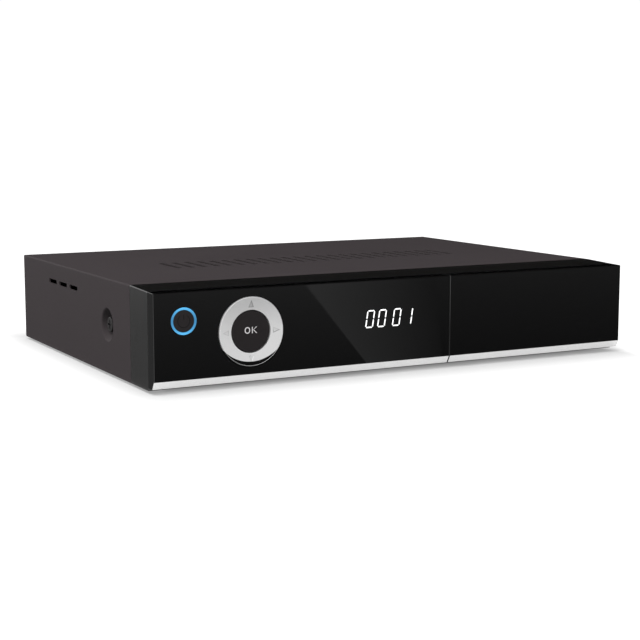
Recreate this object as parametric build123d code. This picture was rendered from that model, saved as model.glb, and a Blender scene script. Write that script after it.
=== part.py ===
from build123d import *
import math
import os

# A table-top satellite television receiver: a folded steel case, a gloss front with a lit standby key,
# a four-way rocker ring round a confirm key, a number display and a drop-down card flap.
# Millimetres. X runs to the right as seen from the front, Y to the back, Z up from the table.
# Inside this file a place is given as (x, depth, height): depth is measured back from the gloss face,
# height up from the underside of the steel pan. The origin is the middle of the overall box, on the table.

# --- overall sizes ---
body_width = 280.0
body_height = 48.7
body_depth = 206.2
foot_height = 1.5
socket_reach = 9.0  # how far the aerial sockets stand out behind the case
front_depth = 30.5  # gloss face to the front edge of the cover
front_drop = 1.1  # the front frame's top slopes down by this much to the gloss face

# --- sheet, wall and board thicknesses ---
cover_sheet = 0.8
pan_sheet = 1.0
rear_sheet = 1.0
cage_sheet = 0.6
frame_wall = 2.0
face_plate = 3.0
return_wall = 2.0
board_thickness = 1.6

# --- clearances ---
seam = 0.2  # between the cover and what it slides over
panel_gap = 0.15  # round the closed flap
running_gap = 0.06  # a pin or stem in its bore
press_gap = 0.01  # a pin or screw held fast
loose_gap = 0.3  # between parts that pass each other
seat_gap = 0.1  # between a boxed part and the wall round it
socket_seat = 0.15  # between a socket and its hole in the rear panel
overshoot = 1.0  # how far a cut runs past the face it opens, and a joined piece into its neighbour

# --- gloss front ---
plate_depth = 7.1  # gloss face to the front frame
fixed_plate_width = 166.3  # from the left side to the joint with the flap
strip_top = 5.08
strip_bottom = 1.36
strip_bevel = 2.1
strip_wall = 1.2
strip_skin = 0.4  # what is left of the strip in front of the plate's end return
corner_round = 0.4
plate_round = 0.3
frame_round = 0.5

# --- cover ---
bend_radius = 0.8
sheet_corner = 1.2
side_slot_length = 13.2
side_slot_height = 2.4
side_slot_pitch = 17.75
side_slot_count = 3
side_slot_depth = 115.8  # the foremost slot's middle
side_slot_drop = 10.3  # slots below the cover's top
dimple_radius = 8.8
dimple_floor_radius = 4.6
dimple_sink = 2.6
dimple_depth = 63.3
dimple_drop = 23.7
top_slot_count = 24
top_slot_width = 3.2
top_slot_length = 28.5
top_slot_pitch = 7.6
top_slot_depth = 106.35
rear_lip = 9.0
lip_screw_inset = 21.0  # from the sides

# --- screws ---
case_screw_radius = 1.45
case_screw_length = 6.0
case_head_radius = 3.9
case_head_height = 1.3
pan_screw_inset = 35.0  # from the sides
tongue_heads = 4  # the frame's tongue over the pan is this many head radii long
small_screw_radius = 1.2
small_screw_length = 5.0
small_head_radius = 2.2
small_head_height = 1.0
screw_hole_gap = 0.25
recess_width = 0.9
recess_share = 1.2  # the cross recess is this much longer than the head's radius
recess_sink = 0.7
edge_part = 3  # a small edge is rounded by one part in this many of its wall

# --- feet ---
foot_radius = 8.0
foot_plug_radius = 3.0
foot_inset_x = 22.0
foot_inset_depth = 24.0

# --- standby key and its lit ring ---
power_inset = 15.6  # from the left side
power_drop = 14.0  # below the top of the gloss face
lit_ring_radius = 6.6
lit_ring_wall = 1.15
lit_ring_flange = 1.4
lit_ring_flange_wall = 1.0
lit_ring_lip = 2.0
lit_ring_back = 11.6
lit_ring_relief = 0.45  # the bore is this much wider behind the lip
power_stem_radius = 1.8
power_cap_length = 4.0
power_travel = 0.5

# --- four-way rocker ring and confirm key ---
ring_inset = 51.0
ring_border = 4.16  # gloss left above and below the ring
ring_drop = 0.14  # below the middle of the gloss face
ring_face = 6.45  # width of the ring's bright face
ring_proud = 0.8
ring_dish = 0.9  # the face slopes back by this much from the outside to the bore
ring_edge = 0.25
ring_flange = 1.45
ring_flange_wall = 1.0
ring_post_inset = 1.25  # switch posts out from the ring's bore
ring_post_size = 1.6
ring_tilt = 1.8  # degrees each way
crescent_growth = 3.48  # the arc over the dark crescent is this much larger than the ring
crescent_height = 2.31
crescent_sink = 0.15
crescent_rim = 0.1
arrow_border = 1.6
arrow_length = 3.6
arrow_width = 2.9
arrow_sink = 0.12
gimbal_inset = 3.9  # the gimbal's bore inside the ring's outside
gimbal_wall = 2.0
ear_wall = 1.4
ear_width = 5.0
rocker_pin_radius = 0.5
ok_cap_length = 3.0
ok_stem_radius = 3.5
ok_travel = 0.5
guide_rim = 1.7
guide_plate = 1.2
guide_arm = 2.4
guide_sleeve_wall = 1.6
guide_sleeve_front = 8.0

# --- front board and what stands on it ---
board_front = 15.1
front_board_gap = 3.0  # to the frame's side wall
front_board_flap_gap = 6.3  # to the flap's edge
front_board_low = 7.0
front_board_drop = 3.6
switch_size = 6.0
switch_body = 3.5
switch_tip_radius = 1.7
switch_tip = 0.8
key_play = 0.08  # left between a pressed key and its switch
boss_radius = 3.0
display_inset = 129.5
display_drop = 19.75
display_width = 30.1
display_height = 14.0
display_block = 7.2
display_cover = 1.2  # smoked wall left in front of the display
spacer_wall = 1.0
receiver_eye_inset = 92.0
receiver_eye_drop = 11.6
receiver_eye_radius = 2.6
receiver_block = 6.24  # side of the eye's square foot
led_size = 1.8
led_height = 1.4
peg_radius = 1.5
peg_length = 8.4
peg_inset = 4.5  # inside the plate's upper and lower walls
peg_step = 12.0  # the high peg, right of the receiver's eye

# --- flap hinge and catch ---
hinge_depth = 4.7
hinge_z = 3.5
hinge_pin_radius = 0.8
hinge_knuckle_radius = 1.5
hinge_knuckle_width = 4.0
hinge_inset = 9.0
catch_inset_x = 10.0
catch_drop = 8.0
catch_radius = 3.0
catch_plate = 1.0
catch_magnet = 2.0
catch_air = 0.3

# --- main board and its parts ---
standoff_height = 5.5
standoff_radius = 3.0
board_inset_x = 8.0
board_screw_offset = 14.0  # right of the serial ports' middle
main_board_front = 52.0
main_board_back_inset = 6.0
processor_x = -10.0
processor_depth = 120.0
processor_size = 27.0
processor_height = 2.2
sink_size = 44.0
sink_base = 2.5
sink_height = 11.0
sink_fin = 1.4
sink_fin_count = 9
chip_length = 13.0
chip_width = 9.0
chip_height = 1.2
chip_pitch = 12.0
chip_count = 4
cap_height = 11.0
cap_radius = 4.0
cap_pitch = 10.5
cap_count = 6
cap_round = 0.8
cap_row_count = 3  # in each row
coil_size = 9.0
coil_round = 1.8
coil_row = 4  # counted in rows of capacitors from the sockets
coil_height = 5.0
coil_count = 3
coil_pitch = 12.0
header_width = 22.0
header_depth = 4.5
header_height = 5.0
ribbon_width = 20.0
ribbon_thickness = 0.8
ribbon_inset = 100.0  # from the left side
ribbon_parts = 3  # the ribbon climbs in the middle one of these

# --- rear sockets: centre x, width, height and cavity ---
tuner_inset = 42.0  # from the left side
tuner_width = 46.0
tuner_length = 32.0
tuner_height = 22.0
tuner_sheet = 0.8
aerial_pitch = 22.0
aerial_z = 20.0
aerial_radius = 4.76
aerial_shank_radius = 4.95  # the part under the nut
aerial_bore_radius = 3.2
aerial_core_radius = 1.2
aerial_core_sink = 1.0  # behind the socket's end
aerial_nut_flats = 13.0
aerial_nut_height = 2.2
optical_pitch = 32.0  # from the tuner's middle
optical_width = 9.7
optical_height = 10.0
optical_cavity = 6.0
phono_pitch = 18.0
phono_radius = 4.15
phono_shank_radius = 4.35  # the part inside the rear panel
phono_bore_radius = 3.3
phono_base = 10.0
phono_reach = 7.5
hdmi_pitch = 24.0
hdmi_width = 15.2
hdmi_height = 5.8
hdmi_wall = 0.5
hdmi_bevel = 1.45
usb_spacing = 28.0
usb_width = 14.4
usb_height = 15.6
usb_cavity_width = 12.5
usb_cavity_height = 5.1
usb_pitch = 7.8
usb_blade_width = 10.0
usb_blade = 1.7
usb_blade_drop = 1.02  # the blade's middle below the hollow's top
network_pitch = 32.0
network_width = 16.0
network_height = 13.5
network_cavity_width = 11.9
network_cavity_height = 8.2
network_latch_drop = 1.64
inlet_inset = 22.0  # from the right side
inlet_width = 9.4
inlet_height = 11.0
inlet_bore_radius = 3.2
inlet_pin_radius = 1.0
socket_depth = 14.0
socket_proud = 0.6
cavity_depth = 10.0
blade_sink = 2.0  # a blade or pin ends this far inside the mouth

# --- card slots behind the flap ---
card_offset = 5.15  # left of the flap's middle
card_slot_width = 54.6
card_slot_height = 5.4
card_slot_rise = 17.4  # above the main board
card_slot_depth = 72.0
card_leg_width = 3.0
card_leg_depth = 6.0
card_header_depth = 8.0
reader_width = 58.0
reader_height = 6.4
reader_front = 11.0
reader_back = 78.0
chip_card_width = 54.4
chip_card_gap = 1.6
chip_card_rise = 3.0
slot_frame = 1.5  # how much wider the frame's openings are than the slots behind them

# --- worked out from the sizes above ---
front_y = -(body_depth + socket_reach - ring_proud) / 2
half_width = body_width / 2
front_top_height = body_height - front_drop
flap_edge_x = -half_width + fixed_plate_width
side_slot_z = body_height - side_slot_drop
dimple_z = body_height - dimple_drop
power_x = -half_width + power_inset
power_z = front_top_height - power_drop
ring_x = -half_width + ring_inset
ring_z = (strip_top + front_top_height) / 2 - ring_drop
ring_radius = (front_top_height - strip_top) / 2 - ring_border
ring_bore_radius = ring_radius - ring_face
ring_post_radius = ring_bore_radius + ring_post_inset
crescent_radius = ring_radius + crescent_growth
crescent_rise = crescent_growth + crescent_height
arrow_reach = ring_radius - arrow_border
gimbal_bore_radius = ring_radius - gimbal_inset
front_board_left = -half_width + frame_wall + front_board_gap
front_board_right = flap_edge_x - front_board_flap_gap
front_board_high = front_top_height - front_board_drop
display_x = -half_width + display_inset
display_z = front_top_height - display_drop
receiver_eye_x = -half_width + receiver_eye_inset
receiver_eye_z = front_top_height - receiver_eye_drop
ribbon_x = -half_width + ribbon_inset
tuner_x = -half_width + tuner_inset
optical_x = tuner_x + optical_pitch
phono_x = optical_x + phono_pitch
hdmi_x = phono_x + hdmi_pitch
usb_x = hdmi_x + usb_spacing
network_x = usb_x + network_pitch
inlet_x = half_width - inlet_inset
card_x = (flap_edge_x + half_width) / 2 - card_offset
inside_half_width = half_width - cover_sheet - seam
inside_top = body_height - cover_sheet - seam
cover_front = front_depth
frame_back = front_depth - seam
web_back = plate_depth + frame_wall
rear_face = body_depth - cover_sheet
rear_inner = rear_face - rear_sheet
board_back = board_front + board_thickness
main_board_z = pan_sheet + standoff_height
main_board_top = main_board_z + board_thickness
main_board_back = rear_inner - main_board_back_inset
card_slot_z = main_board_top + card_slot_rise
switch_tip_front = board_front - switch_body - switch_tip
power_back = switch_tip_front - key_play - power_travel
ok_back = switch_tip_front - key_play - ok_travel
gimbal_radius = gimbal_bore_radius + gimbal_wall
ear_inner = gimbal_radius + loose_gap
ear_outer = ear_inner + ear_wall
pivot_depth = plate_depth + frame_wall / 2
corner_tilt = math.radians(ring_tilt) * math.sqrt(2)  # both ways at once
key_gap = (pivot_depth + ring_proud) * math.sin(corner_tilt) + seat_gap  # round the ring and inside it
ring_back = face_plate + loose_gap + (ring_radius + ring_flange) * math.sin(corner_tilt) + ring_flange_wall
post_back = switch_tip_front - key_play - ring_post_radius * math.sin(math.radians(ring_tilt))
web_ring_radius = ear_outer + key_gap
guide_front = web_back + gimbal_radius * math.sin(math.radians(ring_tilt)) + loose_gap
guide_back = guide_front + guide_plate
fixed_edge_x = flap_edge_x - panel_gap
flap_left = flap_edge_x + panel_gap
flap_back = plate_depth - panel_gap
left_knuckle = flap_left + hinge_inset
right_knuckle = half_width - hinge_inset
socket_front = rear_inner - socket_depth
aerial_thread_start = rear_face + aerial_nut_height + loose_gap
socket_back = body_depth + socket_proud
over_slope = (body_height - front_top_height) / front_depth
card_side = (card_slot_width / 2, card_slot_width / 2 + cage_sheet)


# --- shared shapes ---
def block(x, depth, height):
    """A box between two x values, two depths and two heights."""
    spans = (x, depth, height)
    size = [max(span) - min(span) for span in spans]
    middle = [sum(span) / 2 for span in spans]
    return Pos(middle[0], front_y + middle[1], foot_height + middle[2]) * Box(*size)


def rod_back(x, height, radius, depth):
    """A round bar that runs from front to back."""
    centre = Pos(x, front_y + sum(depth) / 2, foot_height + height)
    return centre * Rot(90, 0, 0) * Cylinder(radius, abs(depth[1] - depth[0]))


def rod_up(x, depth, radius, height):
    """A round bar that stands upright."""
    centre = Pos(x, front_y + depth, foot_height + sum(height) / 2)
    return centre * Cylinder(radius, abs(height[1] - height[0]))


def rod_across(depth, height, radius, x):
    """A round bar that runs from left to right."""
    centre = Pos(sum(x) / 2, front_y + depth, foot_height + height)
    return centre * Rot(0, 90, 0) * Cylinder(radius, abs(x[1] - x[0]))


def prism(points, x):
    """An outline of (depth, height) points carried from one x to another."""
    outline = Polyline(*[(0, front_y + depth, foot_height + height) for depth, height in points], close=True)
    return Pos(min(x), 0, 0) * extrude(make_face(outline), amount=max(x) - min(x), dir=(1, 0, 0))


def joined(solids):
    """Solids added up into one."""
    whole = solids[0]
    for solid in solids[1:]:
        whole = whole + solid
    return whole


def less(solid, cuts):
    """A solid with every cut taken out of it."""
    for cut in cuts:
        solid = solid - cut
    return solid


def centred(middle, width):
    """The two ends of a span from its middle and width."""
    return (middle - width / 2, middle + width / 2)


def stacked(base, height):
    """The two ends of a span from its foot and height."""
    return (base, base + height)


def slope_height(depth):
    """Height of the front's sloping top at a depth."""
    return front_top_height + over_slope * depth


def round_top(angle, radius):
    """Place on the rocker ring's circle, from an angle in degrees and a radius."""
    turn = math.radians(angle)
    return (ring_x + radius * math.cos(turn), ring_z + radius * math.sin(turn))


def save(name, solids):
    """Write one sub-part; a list is kept as a group of separate solids."""
    shape = Compound(children=solids) if isinstance(solids, list) else solids
    export_step(shape, os.path.join("parts", name + ".step"))


# --- screws ---
def cross_recess(radius):
    """The cross cut in a screw's head, round the origin, open towards +Z."""
    long_side = radius * recess_share
    bar = Box(long_side, recess_width, recess_sink * 2)
    return bar + Rot(0, 0, 90) * bar


def screw(radius, length, head_radius, head_height):
    """A cross-head screw standing on z = 0 with its shank downwards."""
    head = Pos(0, 0, head_height / 2) * Cylinder(head_radius, head_height)
    head = fillet(head.edges().group_by(Axis.Z)[-1], head_height / edge_part)
    shank = Pos(0, 0, -length / 2) * Cylinder(radius, length)
    return head + shank - Pos(0, 0, head_height) * cross_recess(head_radius)


def case_screw(x, depth, height, turn):
    """A case screw at a place, turned from upright."""
    shape = screw(case_screw_radius, case_screw_length, case_head_radius, case_head_height)
    return Pos(x, front_y + depth, foot_height + height) * turn * shape


def small_screw(x, depth, height, turn):
    """A board screw at a place, turned from upright."""
    shape = screw(small_screw_radius, small_screw_length, small_head_radius, small_head_height)
    return Pos(x, front_y + depth, foot_height + height) * turn * shape


facing_left = Rot(0, -90, 0)
facing_right = Rot(0, 90, 0)
facing_back = Rot(-90, 0, 0)
facing_down = Rot(180, 0, 0)
facing_up = Rot(0, 0, 0)


# --- places that several pieces share ---
def foot_places():
    """Middle of each foot."""
    depths = (front_depth + foot_inset_depth, rear_inner - foot_inset_depth)
    return [(side * (half_width - foot_inset_x), depth) for side in (-1, 1) for depth in depths]


def across_places(inset):
    """Three places across the case: near each side and in the middle."""
    return (inset - half_width, 0, half_width - inset)


def frame_screw_places():
    """Screws that tie the pan to the front frame's rear tongue."""
    return [(x, frame_back + case_head_radius * 2) for x in across_places(pan_screw_inset)]


def rear_foot_screw_places():
    """Screws that tie the pan to the rear panel's foot."""
    return [(x, rear_inner - case_head_radius - bend_radius) for x in across_places(pan_screw_inset)]


def rear_lip_screw_places():
    """Screws through the cover's rear lip."""
    return [(x, body_height - rear_lip / 2) for x in across_places(lip_screw_inset)]


def board_screw_places():
    """Standoffs under the main board."""
    across = half_width - board_inset_x - standoff_radius * 2
    depths = (main_board_front + standoff_radius * 2, main_board_back - standoff_radius * 2)
    return [(x, depth) for x in (-across, usb_x + board_screw_offset, across) for depth in depths]


def front_boss_places():
    """Bosses that carry the front board."""
    low = front_board_low + boss_radius + loose_gap
    high = front_board_high - boss_radius - loose_gap
    middle_x = (ring_x + receiver_eye_x) / 2
    left = front_board_left + boss_radius + loose_gap
    right = front_board_right - boss_radius - loose_gap
    return [(left, low), (middle_x, high), (middle_x, low), (right, low), (right, high)]


def peg_places():
    """Pegs that locate the gloss plate in the frame."""
    low = strip_top + peg_inset
    high = front_top_height - return_wall - peg_inset
    return [(power_x, low + peg_radius), (receiver_eye_x + peg_step, high), (receiver_eye_x, low)]


def key_places():
    """Every switch: confirm key, four ring directions and standby key."""
    four = [round_top(angle, ring_post_radius) for angle in range(0, 360, 90)]
    return [(ring_x, ring_z), *four, (power_x, power_z)]


def aerial_places():
    """Middle of each aerial socket."""
    return [tuner_x - aerial_pitch / 2, tuner_x + aerial_pitch / 2]


def knuckle_spans():
    """For each hinge: the flap's knuckle span and the frame's knuckle span."""
    spans = []
    for start, inward in ((left_knuckle, 1), (right_knuckle, -1)):
        flap_end = start + inward * hinge_knuckle_width
        frame_start = flap_end + inward * panel_gap
        spans.append(((start, flap_end), (frame_start, frame_start + inward * hinge_knuckle_width)))
    return spans


# --- case ---
def make_cover():
    """The folded cover: top, two sides, a lip down over the rear panel, vents and two screw dimples."""
    depth = (cover_front, body_depth)
    outer = block((-half_width, half_width), depth, (0, body_height))
    outer = fillet(outer.edges().filter_by(Axis.Y).group_by(Axis.Z)[-1], bend_radius)
    side = half_width - cover_sheet
    inner_depth = (cover_front - overshoot, body_depth + overshoot)
    inner = block((-side, side), inner_depth, (-overshoot, body_height - cover_sheet))
    cover = outer - inner
    rear_corners = cover.edges().filter_by(Axis.X).group_by(Axis.Y)[-1].group_by(Axis.Z)[0]
    cover = fillet(rear_corners, sheet_corner)
    lip_height = (body_height - rear_lip, body_height - cover_sheet / 2)
    lip = block((-side, side), (rear_face, body_depth), lip_height)
    cover = cover + lip
    for hand in (-1, 1):
        cover = cover + dimple(hand, cover_sheet)
        cover = cover - dimple(hand, 0)
        hole = (hand * (half_width - dimple_sink - cover_sheet - overshoot), hand * half_width)
        cover = cover - rod_across(dimple_depth, dimple_z, case_screw_radius + screw_hole_gap, hole)
    return less(cover, [*side_slots(), *top_slots(), *lip_holes()])


def dimple(hand, sink):
    """The pressed screw seat on one side, as a cone that starts at a depth in the sheet."""
    cone = Cone(dimple_floor_radius, dimple_radius, dimple_sink)
    middle = half_width - sink - dimple_sink / 2
    place = Pos(hand * middle, front_y + dimple_depth, foot_height + dimple_z)
    return place * Rot(0, 90 * hand, 0) * cone


def side_slots():
    """Vents high on each side."""
    cuts = []
    for index in range(side_slot_count):
        depth = side_slot_depth + side_slot_pitch * index
        slot = block(
            (-half_width - overshoot, half_width + overshoot),
            centred(depth, side_slot_length),
            centred(side_slot_z, side_slot_height),
        )
        cuts.append(fillet(slot.edges().filter_by(Axis.X), side_slot_height / edge_part))
    return cuts


def top_slots():
    """A row of straight vents across the top."""
    cuts = []
    for index in range(top_slot_count):
        x = (index - (top_slot_count - 1) / 2) * top_slot_pitch
        slot = block(
            centred(x, top_slot_width),
            centred(top_slot_depth, top_slot_length),
            (body_height - cover_sheet - overshoot, body_height + overshoot),
        )
        cuts.append(fillet(slot.edges().filter_by(Axis.Z), top_slot_width / edge_part))
    return cuts


def lip_holes():
    """Screw holes in the cover's rear lip."""
    span = (rear_face - overshoot, body_depth + overshoot)
    radius = case_screw_radius + screw_hole_gap
    return [rod_back(x, height, radius, span) for x, height in rear_lip_screw_places()]


def make_pan():
    """The bottom pan: a floor with low side walls and two upright screw tabs behind the cover's dimples."""
    depth = (cover_front, rear_face)
    pan = block((-inside_half_width, inside_half_width), depth, (0, pan_sheet))
    wall_height = standoff_height + pan_sheet
    tab_face = half_width - cover_sheet - dimple_sink
    for hand in (-1, 1):
        wall = (hand * (inside_half_width - pan_sheet), hand * inside_half_width)
        wall_depth = (dimple_depth + dimple_radius * 2, rear_inner - seam)
        pan = pan + block(wall, wall_depth, (0, wall_height))
        tab = (hand * (tab_face - pan_sheet), hand * tab_face)
        pan = pan + block(tab, centred(dimple_depth, dimple_radius * 2), (0, dimple_z + dimple_radius))
        thread = (hand * (tab_face - pan_sheet - overshoot), hand * half_width)
        pan = pan - rod_across(dimple_depth, dimple_z, case_screw_radius + press_gap, thread)
    through = (-overshoot, pan_sheet + overshoot)
    clear = case_screw_radius + screw_hole_gap
    for x, depth_at in [*frame_screw_places(), *rear_foot_screw_places()]:
        pan = pan - rod_up(x, depth_at, clear, through)
    for x, depth_at in foot_places():
        pan = pan - rod_up(x, depth_at, foot_plug_radius + press_gap, through)
    return pan


def make_rear_panel():
    """The rear panel, folded forward at its foot, with a hole for each socket and for the lip screws."""
    side = inside_half_width - seam
    panel = block((-side, side), (rear_inner, rear_face), (pan_sheet, inside_top))
    foot_side = side - pan_sheet - seam
    foot_depth = (rear_inner - case_head_radius * 2 - bend_radius, rear_face)
    panel = panel + block((-foot_side, foot_side), foot_depth, stacked(pan_sheet, rear_sheet))
    foot_bore = (0, pan_sheet + rear_sheet + overshoot)
    for x, depth in rear_foot_screw_places():
        panel = panel - rod_up(x, depth, case_screw_radius + press_gap, foot_bore)
    through = (rear_inner - overshoot, rear_face + overshoot)
    for x, height in rear_lip_screw_places():
        panel = panel - rod_back(x, height, case_screw_radius + press_gap, through)
    for x in aerial_places():
        panel = panel - rod_back(x, aerial_z, aerial_shank_radius + socket_seat, through)
    panel = panel - rod_back(phono_x, phono_z(), phono_shank_radius + socket_seat, through)
    for x, width, height in boxed_sockets():
        opening_height = (main_board_top - socket_seat, main_board_top + height + socket_seat)
        panel = panel - block(centred(x, width + socket_seat * 2), through, opening_height)
    return panel


def boxed_sockets():
    """Middle, width and height of each socket that shows as a box in the rear panel."""
    return [
        (optical_x, optical_width, optical_height),
        (hdmi_x, hdmi_width, hdmi_height),
        (usb_x, usb_width, usb_height),
        (network_x, network_width, network_height),
        (inlet_x, inlet_width, inlet_height),
    ]


def make_feet():
    """Four rubber feet, each with a plug that is pressed into the pan."""
    feet = []
    for x, depth in foot_places():
        pad = rod_up(x, depth, foot_radius, (-foot_height, 0))
        pad = fillet(pad.edges().group_by(Axis.Z)[0], foot_height / edge_part)
        feet.append(pad + rod_up(x, depth, foot_plug_radius, (-foot_height / 2, pan_sheet)))
    return feet


def make_side_screws():
    """The two screws in the cover's dimples."""
    seat = half_width - dimple_sink
    left = case_screw(-seat, dimple_depth, dimple_z, facing_left)
    right = case_screw(seat, dimple_depth, dimple_z, facing_right)
    return [left, right]


def make_rear_screws():
    """The screws through the cover's rear lip."""
    return [case_screw(x, body_depth, height, facing_back) for x, height in rear_lip_screw_places()]


def make_pan_screws():
    """Flat screws from below into the front frame and the rear panel's foot."""
    places = [*frame_screw_places(), *rear_foot_screw_places()]
    return [small_pan_screw(x, depth) for x, depth in places]


def small_pan_screw(x, depth):
    """A screw whose low head clears the table."""
    head_radius = small_head_radius + screw_hole_gap
    shape = screw(case_screw_radius, frame_wall + pan_sheet, head_radius, small_head_height)
    return Pos(x, front_y + depth, foot_height) * facing_down * shape


# --- front frame ---
def make_front_frame():
    """The moulded frame: a hollow wedge with a web across its front and a tongue under the cover."""
    outside = [
        (plate_depth, 0),
        (frame_back, 0),
        (frame_back, body_height),
        (plate_depth, slope_height(plate_depth)),
    ]
    frame = prism(outside, (-half_width, half_width))
    top_height = foot_height + slope_height((plate_depth + frame_back) / 2)
    for side in (-half_width, half_width):
        corner = [edge for edge in frame.edges() if runs_back_at(edge, side, top_height)]
        frame = fillet(corner, frame_round)
    rim = [edge for edge in frame.edges().group_by(Axis.Y)[0] if edge.center().Z > foot_height + plate_round]
    frame = fillet(rim, plate_round)
    hollow_top = slope_height(web_back) - frame_wall
    hollow = [
        (web_back, frame_wall),
        (frame_back + overshoot, frame_wall),
        (frame_back + overshoot, body_height - frame_wall),
        (web_back, hollow_top),
    ]
    side = half_width - frame_wall
    frame = frame - prism(hollow, (-side, side))
    frame = frame + frame_tongue()
    frame = less(frame, web_cuts())
    frame = joined([frame, *front_bosses(), *gimbal_lugs(), *frame_knuckles()])
    return less(frame, frame_pin_bores())


def frame_tongue():
    """What reaches back from the frame: rails under the cover's top and sides and over the pan."""
    reach = case_head_radius * tongue_heads
    side = inside_half_width - seam
    top = block((-side, side), (web_back, frame_back + reach / 2), (inside_top - frame_wall, inside_top))
    ahead = block((-half_width, half_width), (0, frame_back - frame_wall), (0, body_height))
    tongue = top - ahead
    low_side = side - frame_wall
    low_depth = (frame_back - frame_wall, frame_back + reach)
    low = block((-low_side, low_side), low_depth, stacked(pan_sheet, frame_wall))
    for hand in (-1, 1):
        rail = (hand * (side - frame_wall), hand * side)
        height = (dimple_z + dimple_radius, inside_top)
        rail_depth = (frame_back - frame_wall, frame_back + reach / 2)
        tongue = tongue + block(rail, rail_depth, height)
    bore = (0, pan_sheet + frame_wall + overshoot)
    for x, depth in frame_screw_places():
        low = low - rod_up(x, depth, case_screw_radius + press_gap, bore)
    return tongue + low


def web_cuts():
    """Holes through the web for the keys, the display, the eye, the pegs and the card slots."""
    through = (plate_depth - overshoot, web_back + overshoot)
    cuts = [
        rod_back(power_x, power_z, lit_ring_radius + seat_gap, through),
        rod_back(ring_x, ring_z, web_ring_radius, through),
        rod_back(receiver_eye_x, receiver_eye_z, receiver_eye_radius + seat_gap, through),
        block(
            centred(display_x, display_width + seat_gap * 2),
            through,
            centred(display_z, display_height + seat_gap * 2),
        ),
        block(
            centred(card_x, card_slot_width + slot_frame),
            through,
            centred(card_slot_z, card_slot_height + slot_frame),
        ),
        block(
            centred(card_x, chip_card_width + slot_frame),
            through,
            centred(main_board_top + chip_card_rise, chip_card_gap + slot_frame),
        ),
        rod_back(catch_x(), catch_z(), catch_radius + press_gap, through),
    ]
    pegs = [rod_back(x, height, peg_radius + press_gap * 2, through) for x, height in peg_places()]
    return cuts + pegs


def catch_x():
    """Where the flap's catch is, from the flap's free end."""
    return half_width - return_wall - catch_inset_x


def catch_z():
    """Height of the flap's catch."""
    return front_top_height - catch_drop


def front_bosses():
    """Bosses from the web back to the front board."""
    depth = (web_back - frame_wall / 2, board_front)
    bore = (web_back, board_front + overshoot)
    bosses = []
    for x, height in front_boss_places():
        boss = rod_back(x, height, boss_radius, depth)
        bosses.append(boss - rod_back(x, height, small_screw_radius + press_gap, bore))
    return bosses


def gimbal_lugs():
    """Two lugs inside the web's large hole, which hold the gimbal's pins."""
    lugs = []
    for hand in (-1, 1):
        span = (ring_x + hand * ear_inner, ring_x + hand * (web_ring_radius + frame_wall))
        lugs.append(block(span, (plate_depth, web_back), centred(ring_z, ear_width)))
    return lugs


def frame_knuckles():
    """The frame's half of each flap hinge: a round knuckle on an arm from the web."""
    arm_depth = (hinge_depth, web_back - frame_wall / 2)
    knuckles = []
    for _, span in knuckle_spans():
        knuckle = rod_across(hinge_depth, hinge_z, hinge_knuckle_radius, span)
        arm = block(span, arm_depth, centred(hinge_z, hinge_knuckle_radius * 2))
        knuckles.append(knuckle + arm)
    return knuckles


def frame_pin_bores():
    """Bores for the hinge pins and for the gimbal's pins."""
    bores = []
    for _, span in knuckle_spans():
        bores.append(rod_across(hinge_depth, hinge_z, hinge_pin_radius + press_gap, span))
    for hand in (-1, 1):
        span = (ring_x + hand * gimbal_bore_radius, ring_x + hand * (ear_outer + frame_wall))
        bores.append(rod_across(pivot_depth, ring_z, rocker_pin_radius + press_gap, span))
    return bores


# --- gloss front ---
def make_fascia():
    """The fixed gloss plate with returns on top and at the side, and a thin smoked wall over the display."""
    span = (-half_width, fixed_edge_x)
    plate = gloss_panel(span, -1, plate_depth, plate_depth)
    through = (-overshoot, face_plate + overshoot)
    cuts = [
        rod_back(power_x, power_z, lit_ring_radius + press_gap, through),
        rod_back(ring_x, ring_z, ring_radius + key_gap, through),
        block(
            centred(display_x, display_width + loose_gap * 2),
            (display_cover, face_plate + overshoot),
            centred(display_z, display_height + loose_gap * 2),
        ),
    ]
    plate = less(plate, cuts)
    peg_depth = stacked(face_plate / 2, peg_length)
    pegs = [rod_back(x, height, peg_radius, peg_depth) for x, height in peg_places()]
    return joined([plate, *pegs])


def end_span(span, hand):
    """The x values of the end return on one hand of a gloss plate."""
    return (span[0], span[0] + return_wall) if hand < 0 else (span[1] - return_wall, span[1])


def gloss_panel(span, hand, back, strip_back):
    """A gloss plate with a top return and, on one hand, an end return that closes its strip's end."""
    low = strip_top
    face = [(0, low), (face_plate, low), (face_plate, slope_height(face_plate)), (0, slope_height(0))]
    panel = prism(face, span)
    top = [
        (0, slope_height(0)),
        (back, slope_height(back)),
        (back, slope_height(back) - return_wall),
        (0, slope_height(0) - return_wall),
    ]
    panel = panel + prism(top, span)
    side = [(0, low), (back, low), (back, slope_height(back)), (0, slope_height(0))]
    panel = panel + prism(side, end_span(span, hand)) + strip_end(span, hand, strip_back)
    face_edges = panel.edges().group_by(Axis.Y)[0]
    free = [edge for edge in face_edges if edge.center().Z > foot_height + low + plate_round]
    outer_x = min(span) if hand < 0 else max(span)
    corner_z = foot_height + slope_height(back / 2)
    corner = [edge for edge in panel.edges() if runs_back_at(edge, outer_x, corner_z)]
    return fillet([*free, *corner], plate_round)


def runs_back_at(edge, x, z):
    """Whether an edge runs from front to back with its middle at an x and a z."""
    middle = edge.center()
    return abs(middle.X - x) < plate_round and abs(middle.Z - z) < plate_round


def strip_end(span, hand, back):
    """The room behind the strip's skin at one end, which the plate's end return fills."""
    outline = [
        (strip_skin, strip_top),
        (strip_bevel + strip_skin, strip_bottom),
        (back, strip_bottom),
        (back, strip_top),
    ]
    return prism(outline, end_span(span, hand))


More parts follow.
